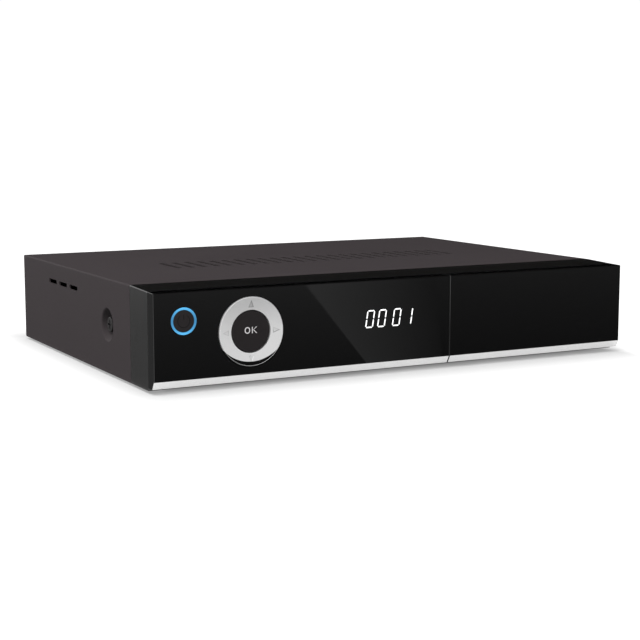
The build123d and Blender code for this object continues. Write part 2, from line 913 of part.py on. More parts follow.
def bright_strip(span, hand, back):
    """The bright strip under the gloss plate: a bevelled front wall and a foot that runs back."""
    bevel_slope = strip_bevel / (strip_top - strip_bottom)
    inner_top = strip_wall
    foot_top = strip_bottom + strip_wall
    foot_meet = inner_top + bevel_slope * (strip_top - foot_top)
    outline = [
        (0, strip_top),
        (strip_bevel, strip_bottom),
        (back, strip_bottom),
        (back, foot_top),
        (foot_meet, foot_top),
        (inner_top, strip_top),
    ]
    return prism(outline, span) - strip_end(span, hand, back)


def make_fascia_strip():
    """The bright strip under the fixed plate."""
    return bright_strip((-half_width, fixed_edge_x), -1, plate_depth)


def hinge_notches():
    """Room in the flap's strip for the knuckles of both halves."""
    front = hinge_depth - hinge_knuckle_radius - loose_gap
    top = hinge_z + hinge_knuckle_radius + loose_gap
    notches = []
    for flap_span, frame_span in knuckle_spans():
        low = min(*flap_span, *frame_span) - loose_gap
        high = max(*flap_span, *frame_span) + loose_gap
        notches.append(block((low, high), (front, plate_depth + overshoot), (0, top)))
    return notches


def make_flap():
    """The drop-down gloss flap, with its hinge knuckles and the seat for its catch plate."""
    panel = gloss_panel((flap_left, half_width), 1, flap_back, hinge_depth)
    knuckles = []
    for span, _ in knuckle_spans():
        knuckle = rod_across(hinge_depth, hinge_z, hinge_knuckle_radius, span)
        arm_top = strip_top + hinge_knuckle_radius * 2
        arm = block(span, (face_plate / 2, hinge_depth + hinge_knuckle_radius), (hinge_z, arm_top))
        arm = arm - block(span, (0, hinge_depth - hinge_knuckle_radius), (0, strip_top))
        bore = rod_across(hinge_depth, hinge_z, hinge_pin_radius + running_gap, span)
        knuckles.append((knuckle + arm, bore))
    panel = joined([panel, *[solid for solid, _ in knuckles]])
    panel = less(panel, [bore for _, bore in knuckles])
    seat_depth = (face_plate / 2, plate_depth - catch_air - catch_plate)
    return panel + rod_back(catch_x(), catch_z(), catch_radius, seat_depth)


def make_flap_strip():
    """The bright strip under the flap, short enough behind to swing past the frame."""
    strip = bright_strip((flap_left, half_width), 1, hinge_depth)
    return less(strip, hinge_notches())


def make_hinge_pins():
    """Steel pins held in the frame's knuckles, on which the flap turns."""
    pins = []
    for flap_span, frame_span in knuckle_spans():
        ends = [*flap_span, *frame_span]
        pins.append(rod_across(hinge_depth, hinge_z, hinge_pin_radius, (min(ends), max(ends))))
    return pins


def make_catch_plate():
    """The steel plate on the flap that the magnet holds."""
    back = plate_depth - catch_air
    return rod_back(catch_x(), catch_z(), catch_radius, (back - catch_plate, back))


def make_catch_magnet():
    """The magnet in the frame's web."""
    return rod_back(catch_x(), catch_z(), catch_radius, stacked(plate_depth, catch_magnet))


# --- keys ---
def make_lit_ring():
    """The light guide round the standby key: a tube with a front lip, a flange and a wider bore behind."""
    bore = lit_ring_radius - lit_ring_wall
    ring = rod_back(power_x, power_z, lit_ring_radius, (0, lit_ring_back))
    flange_depth = stacked(face_plate, lit_ring_flange_wall)
    ring = ring + rod_back(power_x, power_z, lit_ring_radius + lit_ring_flange, flange_depth)
    end = lit_ring_back + overshoot
    ring = ring - rod_back(power_x, power_z, bore, (-overshoot, end))
    return ring - rod_back(power_x, power_z, bore + lit_ring_relief, (lit_ring_lip, end))


def make_power_button():
    """The standby key: a cap in the lit ring, a collar behind the ring's lip and a stem."""
    cap_radius = lit_ring_radius - lit_ring_wall - running_gap
    cap = rod_back(power_x, power_z, cap_radius, (0, power_cap_length))
    cap = fillet(cap.edges().group_by(Axis.Y)[0], corner_round / 2)
    collar_radius = cap_radius + lit_ring_relief
    collar = rod_back(power_x, power_z, collar_radius, (lit_ring_lip + running_gap, power_cap_length))
    stem = rod_back(power_x, power_z, power_stem_radius, (power_cap_length / 2, power_back))
    return joined([cap, collar, stem])


def make_rocker_ring():
    """The four-way ring: a dished face, engraved arrows, a sunk crescent, a flange, posts and ears."""
    front = -ring_proud
    ring = rod_back(ring_x, ring_z, ring_radius, (front, ring_back))
    ring = chamfer(ring.edges().group_by(Axis.Y)[0], ring_edge)
    flange = rod_back(ring_x, ring_z, ring_radius + ring_flange, (ring_back - ring_flange_wall, ring_back))
    ring = ring + flange
    through = (front - overshoot, ring_back + overshoot)
    ring = ring - rod_back(ring_x, ring_z, ring_bore_radius, through)
    ring = less(ring, [above_dish(0), crescent_cut(), *arrow_cuts()])
    return joined([ring, *ring_posts(), *ring_ears()]) - ring_pin_bore()


def above_dish(sink):
    """All that lies in front of the ring's dished face, or in front of that face moved back by a depth."""
    outer = ring_radius - ring_edge
    front = -ring_proud + sink
    ahead = (-ring_proud - overshoot, front)
    cone = Cone(ring_bore_radius, outer, ring_dish)
    middle = Pos(ring_x, front_y + front + ring_dish / 2, foot_height + ring_z)
    return middle * Rot(90, 0, 0) * cone + rod_back(ring_x, ring_z, outer, ahead)


def crescent_cut():
    """The sunk crescent under the ring's bright face."""
    depth = (-ring_proud - overshoot, -ring_proud + ring_dish)
    inside_rim = rod_back(ring_x, ring_z, ring_radius - ring_edge - crescent_rim, depth)
    face_depth = (depth[0] - overshoot, depth[1] + overshoot)
    face = rod_back(ring_x, ring_z + crescent_rise, crescent_radius, face_depth)
    return (inside_rim - face) & above_dish(crescent_sink)


def arrow_cuts():
    """Four engraved arrows that point outwards."""
    deep = -ring_proud + ring_dish
    cuts = []
    for angle in range(0, 360, 90):
        tip = arrow_reach
        base = arrow_reach - arrow_length
        outline = Polyline((tip, 0), (base, arrow_width / 2), (base, -arrow_width / 2), close=True)
        arrow = extrude(make_face(outline), amount=ring_dish * 2)
        middle = Pos(ring_x, front_y + deep, foot_height + ring_z)
        cuts.append((middle * Rot(90, 0, 0) * Rot(0, 0, angle) * arrow) & above_dish(arrow_sink))
    return cuts


def ring_posts():
    """Posts behind the ring that press the left and right switches."""
    posts = []
    for angle in (0, 180):
        x, height = round_top(angle, ring_post_radius)
        depth = (ring_back - ring_flange_wall, post_back)
        posts.append(block(centred(x, ring_post_size), depth, centred(height, ring_post_size * 2)))
    return posts


def ring_ears():
    """Ears above and below the gimbal, each with a foot that reaches its switch."""
    ears = []
    for hand in (-1, 1):
        radial = (ring_z + hand * ear_inner, ring_z + hand * ear_outer)
        depth = (ring_back - ring_flange_wall, web_back)
        ears.append(block(centred(ring_x, ear_width), depth, radial))
        x, height = round_top(90 * hand, ring_post_radius)
        post_depth = (ring_back - ring_flange_wall, post_back)
        ears.append(block(centred(x, ring_post_size * 2), post_depth, centred(height, ring_post_size)))
    return ears


def ring_pin_bore():
    """One bore from top to bottom through both ears."""
    height = centred(ring_z, (ear_outer + overshoot) * 2)
    bore = rod_up(ring_x, pivot_depth, rocker_pin_radius + press_gap, height)
    inner = (ring_z - gimbal_radius, ring_z + gimbal_radius)
    return bore - rod_up(ring_x, pivot_depth, rocker_pin_radius * 2, inner)


def make_gimbal():
    """The gimbal that lets the rocker ring tilt both ways."""
    depth = (plate_depth, web_back)
    ring = rod_back(ring_x, ring_z, gimbal_radius, depth)
    through = (depth[0] - overshoot, depth[1] + overshoot)
    ring = ring - rod_back(ring_x, ring_z, gimbal_bore_radius, through)
    bore_radius = rocker_pin_radius + running_gap
    across = centred(ring_x, (gimbal_radius + overshoot) * 2)
    upright = centred(ring_z, (gimbal_radius + overshoot) * 2)
    ring = ring - rod_across(pivot_depth, ring_z, bore_radius, across)
    return ring - rod_up(ring_x, pivot_depth, bore_radius, upright)


def make_gimbal_pins():
    """Pins in the frame's lugs, left and right of the gimbal."""
    pins = []
    for hand in (-1, 1):
        span = (ring_x + hand * (gimbal_bore_radius + press_gap), ring_x + hand * ear_outer)
        pins.append(rod_across(pivot_depth, ring_z, rocker_pin_radius, span))
    return pins


def make_rocker_pins():
    """Pins in the ring's ears, above and below the gimbal."""
    pins = []
    for hand in (-1, 1):
        span = (ring_z + hand * (gimbal_bore_radius + press_gap), ring_z + hand * ear_outer)
        pins.append(rod_up(ring_x, pivot_depth, rocker_pin_radius, span))
    return pins


def make_ok_button():
    """The confirm key: a round cap inside the ring on a stem."""
    cap_radius = ring_bore_radius - key_gap
    front = -ring_proud + ring_dish + seat_gap
    cap = rod_back(ring_x, ring_z, cap_radius, stacked(front, ok_cap_length))
    cap = fillet(cap.edges().group_by(Axis.Y)[0], corner_round)
    return cap + rod_back(ring_x, ring_z, ok_stem_radius, (front + ok_cap_length / 2, ok_back))


def make_button_guide():
    """The guide behind the web: a rim, four arms between the switches and a sleeve for the confirm key."""
    sleeve_radius = ok_stem_radius + running_gap + guide_sleeve_wall
    rim_radius = web_ring_radius + guide_rim
    rim = rod_back(ring_x, ring_z, rim_radius, (web_back, guide_back))
    rim_bore = (web_back - overshoot, guide_back + overshoot)
    rim = rim - rod_back(ring_x, ring_z, web_ring_radius, rim_bore)
    arm = Box(rim_radius * 2 - guide_rim, guide_plate, guide_arm)
    middle = Pos(ring_x, front_y + (guide_front + guide_back) / 2, foot_height + ring_z)
    arms = [middle * Rot(0, angle, 0) * arm for angle in (45, 135)]
    sleeve = rod_back(ring_x, ring_z, sleeve_radius, (guide_sleeve_front, guide_back))
    guide = joined([rim, *arms, sleeve])
    bore = (guide_sleeve_front - overshoot, guide_back + overshoot)
    return guide - rod_back(ring_x, ring_z, ok_stem_radius + running_gap, bore)


# --- front board ---
def make_front_board():
    """The board behind the keys and the display."""
    across = (front_board_left, front_board_right)
    board = block(across, (board_front, board_back), (front_board_low, front_board_high))
    through = (board_front - overshoot, board_back + overshoot)
    for x, height in front_boss_places():
        board = board - rod_back(x, height, small_screw_radius + screw_hole_gap, through)
    return board


def make_front_board_screws():
    """Screws through the front board into the frame's bosses."""
    return [small_screw(x, board_back, height, facing_back) for x, height in front_boss_places()]


def make_key_switches():
    """One push switch under each key position."""
    switches = []
    for x, height in key_places():
        body_depth_span = (board_front - switch_body, board_front)
        body = block(centred(x, switch_size), body_depth_span, centred(height, switch_size))
        tip = rod_back(x, height, switch_tip_radius, (switch_tip_front, board_front - switch_body / 2))
        switches.append(body + tip)
    return switches


def make_display():
    """The four-digit display block."""
    depth = stacked(display_cover + loose_gap, display_block)
    return block(centred(display_x, display_width), depth, centred(display_z, display_height))


def make_display_spacer():
    """The frame that holds the display off its board."""
    depth = (display_cover + loose_gap + display_block, board_front)
    outer = block(centred(display_x, display_width), depth, centred(display_z, display_height))
    inner_width = display_width - spacer_wall * 2
    inner_height = display_height - spacer_wall * 2
    inner_depth = (depth[0] - overshoot, depth[1] + overshoot)
    return outer - block(centred(display_x, inner_width), inner_depth, centred(display_z, inner_height))


def make_receiver_eye():
    """The remote control's receiver: a domed eye on a block."""
    depth = (face_plate + loose_gap, board_front)
    eye = rod_back(receiver_eye_x, receiver_eye_z, receiver_eye_radius, depth)
    eye = fillet(eye.edges().group_by(Axis.Y)[0], receiver_eye_radius / 2)
    foot_depth = (board_front - receiver_eye_radius, board_front)
    foot_height_span = centred(receiver_eye_z, receiver_block)
    return eye + block(centred(receiver_eye_x, receiver_block), foot_depth, foot_height_span)


def make_ring_lights():
    """Four lamps on the board behind the lit ring."""
    radius = lit_ring_radius - lit_ring_wall / 2
    depth = (board_front - led_height, board_front)
    lamps = []
    for angle in range(45, 360, 90):
        x = power_x + radius * math.cos(math.radians(angle))
        height = power_z + radius * math.sin(math.radians(angle))
        lamps.append(block(centred(x, led_size), depth, centred(height, led_size)))
    return lamps


# --- main board ---
def make_main_board():
    """The main board on its standoffs."""
    side = half_width - board_inset_x
    board = block((-side, side), (main_board_front, main_board_back), (main_board_z, main_board_top))
    through = (main_board_z - overshoot, main_board_top + overshoot)
    for x, depth in board_screw_places():
        board = board - rod_up(x, depth, small_screw_radius + screw_hole_gap, through)
    return board


def make_standoffs():
    """Tapped standoffs between the pan and the main board."""
    posts = []
    for x, depth in board_screw_places():
        post = rod_up(x, depth, standoff_radius, (pan_sheet, main_board_z))
        bore = (main_board_z - small_screw_length, main_board_z + overshoot)
        posts.append(post - rod_up(x, depth, small_screw_radius + press_gap, bore))
    return posts


def make_main_board_screws():
    """Screws through the main board into the standoffs."""
    return [small_screw(x, depth, main_board_top, facing_up) for x, depth in board_screw_places()]


def make_processor():
    """The processor package."""
    height = stacked(main_board_top, processor_height)
    return block(centred(processor_x, processor_size), centred(processor_depth, processor_size), height)


def make_heat_sink():
    """A finned heat sink on the processor."""
    foot = main_board_top + processor_height
    across = centred(processor_x, sink_size)
    along = centred(processor_depth, sink_size)
    sink = block(across, along, stacked(foot, sink_base))
    pitch = (sink_size - sink_fin) / (sink_fin_count - 1)
    for index in range(sink_fin_count):
        start = across[0] + pitch * index
        sink = sink + block((start, start + sink_fin), along, stacked(foot, sink_height))
    return sink


def make_memory_chips():
    """Memory packages in a row beside the heat sink."""
    chips = []
    for index in range(chip_count):
        depth = processor_depth + (index - (chip_count - 1) / 2) * chip_pitch
        x = processor_x - sink_size / 2 - chip_length
        height = stacked(main_board_top, chip_height)
        chips.append(block(centred(x, chip_length), centred(depth, chip_width), height))
    return chips


def make_capacitors():
    """Round supply capacitors in two rows near the power inlet."""
    caps = []
    for index in range(cap_count):
        x = inlet_x - (index % cap_row_count) * cap_pitch
        depth = socket_front - cap_pitch * (1 + index // cap_row_count)
        can = rod_up(x, depth, cap_radius, stacked(main_board_top, cap_height))
        caps.append(fillet(can.edges().group_by(Axis.Z)[-1], cap_round))
    return caps


def make_power_coils():
    """Square supply coils in front of the capacitors."""
    coils = []
    for index in range(coil_count):
        x = inlet_x - index * coil_pitch
        depth = socket_front - cap_pitch * coil_row
        height = stacked(main_board_top, coil_height)
        coil = block(centred(x, coil_size), centred(depth, coil_size), height)
        coils.append(fillet(coil.edges().filter_by(Axis.Z), coil_round))
    return coils


def make_ribbon_headers():
    """One header behind the front board and one on the main board."""
    across = centred(ribbon_x, header_width)
    low = front_board_low + header_height / 2
    front = block(across, stacked(board_back, header_depth), stacked(low, header_height))
    depth = stacked(main_board_front + header_depth, header_depth)
    back = block(across, depth, stacked(main_board_top, header_height))
    return [front, back]


def make_ribbon():
    """The flat cable from the front board's header over to the main board's."""
    start = board_back + header_depth
    start_height = front_board_low + header_height
    end = main_board_front + header_depth + header_depth / 2
    end_height = main_board_top + header_height + ribbon_thickness / 2
    rise = (end - start) / ribbon_parts
    route = FilletPolyline(
        (start, start_height),
        (start + rise, start_height),
        (start + rise * 2, end_height + rise / 2),
        (end, end_height),
        (end + header_depth / 2, end_height),
        radius=ribbon_thickness * 2,
    )
    strip = extrude(trace(route, ribbon_thickness), ribbon_width / 2, both=True)
    side_on = Plane(origin=(ribbon_x, front_y, foot_height), x_dir=(0, 1, 0), z_dir=(1, 0, 0))
    return side_on.location * strip


# --- rear sockets ---
def make_tuner_can():
    """The tuner's screening can: four walls, a floor and a hole for each aerial socket."""
    back = rear_inner
    across = centred(tuner_x, tuner_width)
    height = stacked(main_board_top, tuner_height)
    can = block(across, (back - tuner_length, back), height)
    inner_across = centred(tuner_x, tuner_width - tuner_sheet * 2)
    inner_depth = (back - tuner_length + tuner_sheet, back - tuner_sheet)
    can = can - block(inner_across, inner_depth, (height[0] + tuner_sheet, height[1] + overshoot))
    through = (back - tuner_sheet - overshoot, back + overshoot)
    for x in aerial_places():
        can = can - rod_back(x, aerial_z, aerial_shank_radius + press_gap, through)
    return can


def make_tuner_lid():
    """The lid that is pushed over the tuner's can."""
    top = main_board_top + tuner_height
    across = centred(tuner_x, tuner_width)
    lid = block(across, (rear_inner - tuner_length, rear_inner), stacked(top, tuner_sheet))
    inset = tuner_sheet + press_gap * 2
    depth = (rear_inner - tuner_length + inset, rear_inner - inset)
    skirt = block(centred(tuner_x, tuner_width - inset * 2), depth, (top - tuner_sheet * 2, top))
    hollow = centred(tuner_x, tuner_width - tuner_sheet * 4)
    hollow_depth = (depth[0] + tuner_sheet, depth[1] - tuner_sheet)
    hollow_height = (top - tuner_sheet * 2 - overshoot, top)
    return lid + (skirt - block(hollow, hollow_depth, hollow_height))


def make_aerial_sockets():
    """Threaded aerial sockets that pass out of the tuner's can through the rear panel."""
    end = body_depth + socket_reach
    sockets = []
    for x in aerial_places():
        barrel = rod_back(x, aerial_z, aerial_radius, (rear_inner - tuner_sheet, end))
        barrel = chamfer(barrel.edges().group_by(Axis.Y)[-1], corner_round)
        shank = (rear_inner - tuner_sheet, aerial_thread_start)
        barrel = barrel + rod_back(x, aerial_z, aerial_shank_radius, shank)
        mouth = rod_back(x, aerial_z, aerial_bore_radius, (body_depth, end + overshoot))
        core_depth = (body_depth - overshoot, end - aerial_core_sink)
        core = rod_back(x, aerial_z, aerial_core_radius, core_depth)
        sockets.append(barrel - mouth + core)
    return sockets


def make_aerial_nuts():
    """Hexagon nuts that clamp the aerial sockets to the rear panel."""
    nuts = []
    for x in aerial_places():
        hexagon = RegularPolygon(aerial_nut_flats / 2, 6, major_radius=False)
        nut = extrude(hexagon, amount=aerial_nut_height)
        nut = nut - Cylinder(aerial_shank_radius + press_gap, (aerial_nut_height + overshoot) * 2)
        nuts.append(Pos(x, front_y + rear_face, foot_height + aerial_z) * Rot(-90, 0, 0) * nut)
    return nuts


def socket_body(x, width, height):
    """The outside of a boxed socket on the main board, standing a little out of the rear panel."""
    return block(centred(x, width), (socket_front, socket_back), stacked(main_board_top, height))


def mouth_depth():
    """From the bottom of a socket's hollow out past its mouth."""
    return (socket_back - cavity_depth, socket_back + overshoot)


def blade_depth():
    """From inside a hollow's bottom to the end of its blade or pin."""
    return (socket_back - cavity_depth - overshoot, socket_back - blade_sink)


def cavity(x, width, height, low):
    """The hollow a plug goes into."""
    return block(centred(x, width), mouth_depth(), stacked(low, height))


def tongue_in(x, width, thickness, middle):
    """The contact blade in the middle of a socket's hollow."""
    return block(centred(x, width), blade_depth(), centred(middle, thickness))


def make_hdmi_socket():
    """The picture output: a thin shell with bevelled lower corners."""
    shell = socket_body(hdmi_x, hdmi_width, hdmi_height)
    shell = chamfer(shell.edges().filter_by(Axis.Y).group_by(Axis.Z)[0], hdmi_bevel)
    inner_height = hdmi_height - hdmi_wall * 2
    hollow = cavity(hdmi_x, hdmi_width - hdmi_wall * 2, inner_height, main_board_top + hdmi_wall)
    hollow = chamfer(hollow.edges().filter_by(Axis.Y).group_by(Axis.Z)[0], hdmi_bevel)
    return shell - hollow


def usb_lows():
    """Foot of each of the two stacked hollows."""
    first = main_board_top + (usb_height - usb_pitch - usb_cavity_height) / 2
    return [first, first + usb_pitch]


def make_usb_socket():
    """Two stacked serial ports, each with its contact blade."""
    shell = socket_body(usb_x, usb_width, usb_height)
    for low in usb_lows():
        shell = shell - cavity(usb_x, usb_cavity_width, usb_cavity_height, low)
        blade_middle = low + usb_cavity_height - usb_blade_drop
        shell = shell + tongue_in(usb_x, usb_blade_width, usb_blade, blade_middle)
    return shell


def make_network_socket():
    """The network socket with its latch groove."""
    shell = socket_body(network_x, network_width, network_height)
    low = main_board_top + (network_height - network_cavity_height) / 2
    shell = shell - cavity(network_x, network_cavity_width, network_cavity_height, low)
    groove_width = network_cavity_width / 2
    groove_low = low - network_latch_drop
    return shell - cavity(network_x, groove_width, network_cavity_height / 2, groove_low)


def make_optical_socket():
    """The optical sound output with its square mouth."""
    shell = socket_body(optical_x, optical_width, optical_height)
    low = main_board_top + (optical_height - optical_cavity) / 2
    return shell - cavity(optical_x, optical_cavity, optical_cavity, low)


def phono_z():
    """Height of the round sound socket's axis."""
    return main_board_top + phono_base / 2


def make_phono_socket():
    """The round coaxial sound output on its base."""
    base_depth = (socket_front, rear_inner - seam)
    base = block(centred(phono_x, phono_base), base_depth, stacked(main_board_top, phono_base))
    root = socket_front + overshoot
    end = body_depth + phono_reach
    barrel = rod_back(phono_x, phono_z(), phono_radius, (root, end))
    shank = rod_back(phono_x, phono_z(), phono_shank_radius, (root, body_depth))
    mouth = (end - cavity_depth, end + overshoot)
    return base + barrel + shank - rod_back(phono_x, phono_z(), phono_bore_radius, mouth)


def make_power_inlet():
    """The low-voltage inlet: a round mouth with its centre pin."""
    shell = socket_body(inlet_x, inlet_width, inlet_height)
    height = main_board_top + inlet_height / 2
    shell = shell - rod_back(inlet_x, height, inlet_bore_radius, mouth_depth())
    return shell + rod_back(inlet_x, height, inlet_pin_radius, blade_depth())


# --- card slots ---
def make_card_cage():
    """The conditional-access slot: a sheet sleeve on four legs over the card reader."""
    inner_side, outer_side = card_side
    inner_low = card_slot_z - card_slot_height / 2
    inner_high = card_slot_z + card_slot_height / 2
    depth = stacked(web_back + seat_gap, card_slot_depth)
    across = (card_x - outer_side, card_x + outer_side)
    cage = block(across, depth, (inner_low - cage_sheet, inner_high + cage_sheet))
    hollow = (card_x - inner_side, card_x + inner_side)
    through = (depth[0] - overshoot, depth[1] + overshoot)
    cage = cage - block(hollow, through, (inner_low, inner_high))
    legs = []
    leg_start = reader_width / 2 + loose_gap
    for hand in (-1, 1):
        for leg_depth in (main_board_front + card_leg_depth, depth[1] - card_leg_depth):
            leg_across = (card_x + hand * leg_start, card_x + hand * (leg_start + card_leg_width))
            legs.append(block(leg_across, centred(leg_depth, card_leg_depth), (main_board_top, card_slot_z)))
            bridge = (card_x + hand * inner_side, card_x + hand * (leg_start + card_leg_width))
            bridge_height = (card_slot_z - card_leg_width, card_slot_z)
            strut = block(bridge, centred(leg_depth, card_leg_depth), bridge_height)
            legs.append(strut - block(hollow, (0, body_depth), (inner_low, inner_high)))
    return joined([cage, *legs])


def make_card_header():
    """The pin block at the inner end of the cage, down to the main board."""
    start = web_back + seat_gap + card_slot_depth
    across = centred(card_x, card_slot_width)
    top = card_slot_z + card_slot_height / 2
    return block(across, stacked(start, card_header_depth), (main_board_top, top))


def make_card_reader():
    """The smart card reader on the main board, open towards the flap."""
    across = centred(card_x, reader_width)
    reader = block(across, (reader_front, reader_back), stacked(main_board_top, reader_height))
    slot_height = centred(main_board_top + chip_card_rise, chip_card_gap)
    slot_depth = (reader_front - overshoot, reader_back - reader_height)
    return reader - block(centred(card_x, chip_card_width), slot_depth, slot_height)


# --- write every sub-part ---
def main():
    """Build each sub-part and write it to its own file."""
    os.makedirs("parts", exist_ok=True)
    pieces = {
        "top_cover": make_cover,
        "bottom_pan": make_pan,
        "rear_panel": make_rear_panel,
        "rubber_feet": make_feet,
        "cover_side_screws": make_side_screws,
        "cover_rear_screws": make_rear_screws,
        "pan_screws": make_pan_screws,
        "front_frame": make_front_frame,
        "front_fascia": make_fascia,
        "fascia_strip": make_fascia_strip,
        "front_flap": make_flap,
        "flap_strip": make_flap_strip,
        "flap_hinge_pins": make_hinge_pins,
        "flap_catch_plate": make_catch_plate,
        "flap_catch_magnet": make_catch_magnet,
        "lit_ring": make_lit_ring,
        "power_button": make_power_button,
        "rocker_ring": make_rocker_ring,
        "rocker_gimbal": make_gimbal,
        "gimbal_pins": make_gimbal_pins,
        "rocker_pins": make_rocker_pins,
        "ok_button": make_ok_button,
        "button_guide": make_button_guide,
        "front_board": make_front_board,
        "front_board_screws": make_front_board_screws,
        "key_switches": make_key_switches,
        "display_block": make_display,
        "display_spacer": make_display_spacer,
        "receiver_eye": make_receiver_eye,
        "ring_lamps": make_ring_lights,
        "main_board": make_main_board,
        "board_standoffs": make_standoffs,
        "main_board_screws": make_main_board_screws,
        "processor": make_processor,
        "heat_sink": make_heat_sink,
        "memory_chips": make_memory_chips,
        "capacitors": make_capacitors,
        "power_coils": make_power_coils,
        "ribbon_headers": make_ribbon_headers,
        "ribbon_cable": make_ribbon,
        "tuner_can": make_tuner_can,
        "tuner_lid": make_tuner_lid,
        "aerial_sockets": make_aerial_sockets,
        "aerial_nuts": make_aerial_nuts,
        "hdmi_socket": make_hdmi_socket,
        "usb_socket": make_usb_socket,
        "network_socket": make_network_socket,
        "optical_socket": make_optical_socket,
        "phono_socket": make_phono_socket,
        "power_inlet": make_power_inlet,
        "card_cage": make_card_cage,
        "card_header": make_card_header,
        "card_reader": make_card_reader,
    }
    for name, make in pieces.items():
        save(name, make())


main()
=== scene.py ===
"""Looks of a table-top satellite receiver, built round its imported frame.

Metres throughout: X runs to the right as seen from the front, Y to the back, Z up from the table.
"""

import logging
import math
from dataclasses import dataclass
from enum import Enum
from functools import partialmethod
from typing import Callable, Dict, List, Optional, Sequence, Tuple, Union

import bmesh
import bpy
import numpy as np
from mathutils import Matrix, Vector


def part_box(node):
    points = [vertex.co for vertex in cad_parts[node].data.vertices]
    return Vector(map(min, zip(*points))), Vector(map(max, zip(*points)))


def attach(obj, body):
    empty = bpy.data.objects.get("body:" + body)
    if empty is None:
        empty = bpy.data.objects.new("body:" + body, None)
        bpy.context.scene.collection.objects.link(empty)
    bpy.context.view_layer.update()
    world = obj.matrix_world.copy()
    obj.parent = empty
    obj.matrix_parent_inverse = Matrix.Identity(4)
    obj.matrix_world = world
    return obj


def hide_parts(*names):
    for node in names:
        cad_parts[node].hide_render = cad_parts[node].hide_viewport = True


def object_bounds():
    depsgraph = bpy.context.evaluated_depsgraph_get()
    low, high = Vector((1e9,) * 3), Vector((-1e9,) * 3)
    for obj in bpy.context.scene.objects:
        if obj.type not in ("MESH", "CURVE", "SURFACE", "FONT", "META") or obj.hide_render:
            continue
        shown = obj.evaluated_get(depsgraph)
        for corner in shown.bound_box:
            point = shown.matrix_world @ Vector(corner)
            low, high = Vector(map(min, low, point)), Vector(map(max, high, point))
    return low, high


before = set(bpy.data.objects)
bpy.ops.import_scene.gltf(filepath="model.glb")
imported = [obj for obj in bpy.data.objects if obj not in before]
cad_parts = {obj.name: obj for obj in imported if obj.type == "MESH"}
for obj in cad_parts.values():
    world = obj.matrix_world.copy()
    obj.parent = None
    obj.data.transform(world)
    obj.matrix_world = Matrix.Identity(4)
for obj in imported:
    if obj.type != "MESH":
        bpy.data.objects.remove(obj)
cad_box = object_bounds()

log = logging.getLogger("receiver")

MM = 0.001

Colour = Tuple[float, float, float]
Place = Tuple[float, float, float]
Pair = Tuple[float, float]
Rows = Sequence[Sequence[float]]
Box = Tuple[Vector, Vector]
Shape = Tuple[np.ndarray, List[List[int]]]


def middle_of(box: Box) -> Vector:
    """Middle of a box that is given by its low and its high corner."""
    low, high = box
    return (low + high) / 2


def centre_of(node: str) -> Vector:
    """Middle of a CAD node's box."""
    return middle_of(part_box(node))


def grey(level: float) -> Colour:
    """A colour of three equal levels."""
    return (level, level, level)


# --- shader arithmetic ---------------------------------------------------------------------


class Wire:
    """The value that leaves one shader socket; arithmetic on it adds Math nodes."""

    def __init__(self, sheet: "ShaderSheet", socket: bpy.types.NodeSocket) -> None:
        """Remember the sheet of nodes and the socket."""
        self.sheet = sheet
        self.socket = socket

    def _math(self, operation: str, other: "Number", flipped: bool = False) -> "Wire":
        """One Math node on this value and another, which comes first when flipped."""
        first, second = (other, self) if flipped else (self, other)
        return self.sheet.add("ShaderNodeMath", {"operation": operation}, {0: first, 1: second})

    __add__, __radd__ = partialmethod(_math, "ADD"), partialmethod(_math, "ADD", flipped=True)
    __sub__, __rsub__ = partialmethod(_math, "SUBTRACT"), partialmethod(_math, "SUBTRACT", flipped=True)
    __mul__, __rmul__ = partialmethod(_math, "MULTIPLY"), partialmethod(_math, "MULTIPLY", flipped=True)
    __truediv__, __rtruediv__ = partialmethod(_math, "DIVIDE"), partialmethod(_math, "DIVIDE", flipped=True)
    __lt__, __gt__ = partialmethod(_math, "LESS_THAN"), partialmethod(_math, "GREATER_THAN")
    larger, smaller = partialmethod(_math, "MAXIMUM"), partialmethod(_math, "MINIMUM")

    def size(self) -> "Wire":
        """The value without its sign."""
        return self._math("ABSOLUTE", 0.0)

    def clipped(self) -> "Wire":
        """The value kept between 0 and 1."""
        return self.larger(0.0).smaller(1.0)


Number = Union[float, Wire]
Setting = Union[str, bool, int, float]


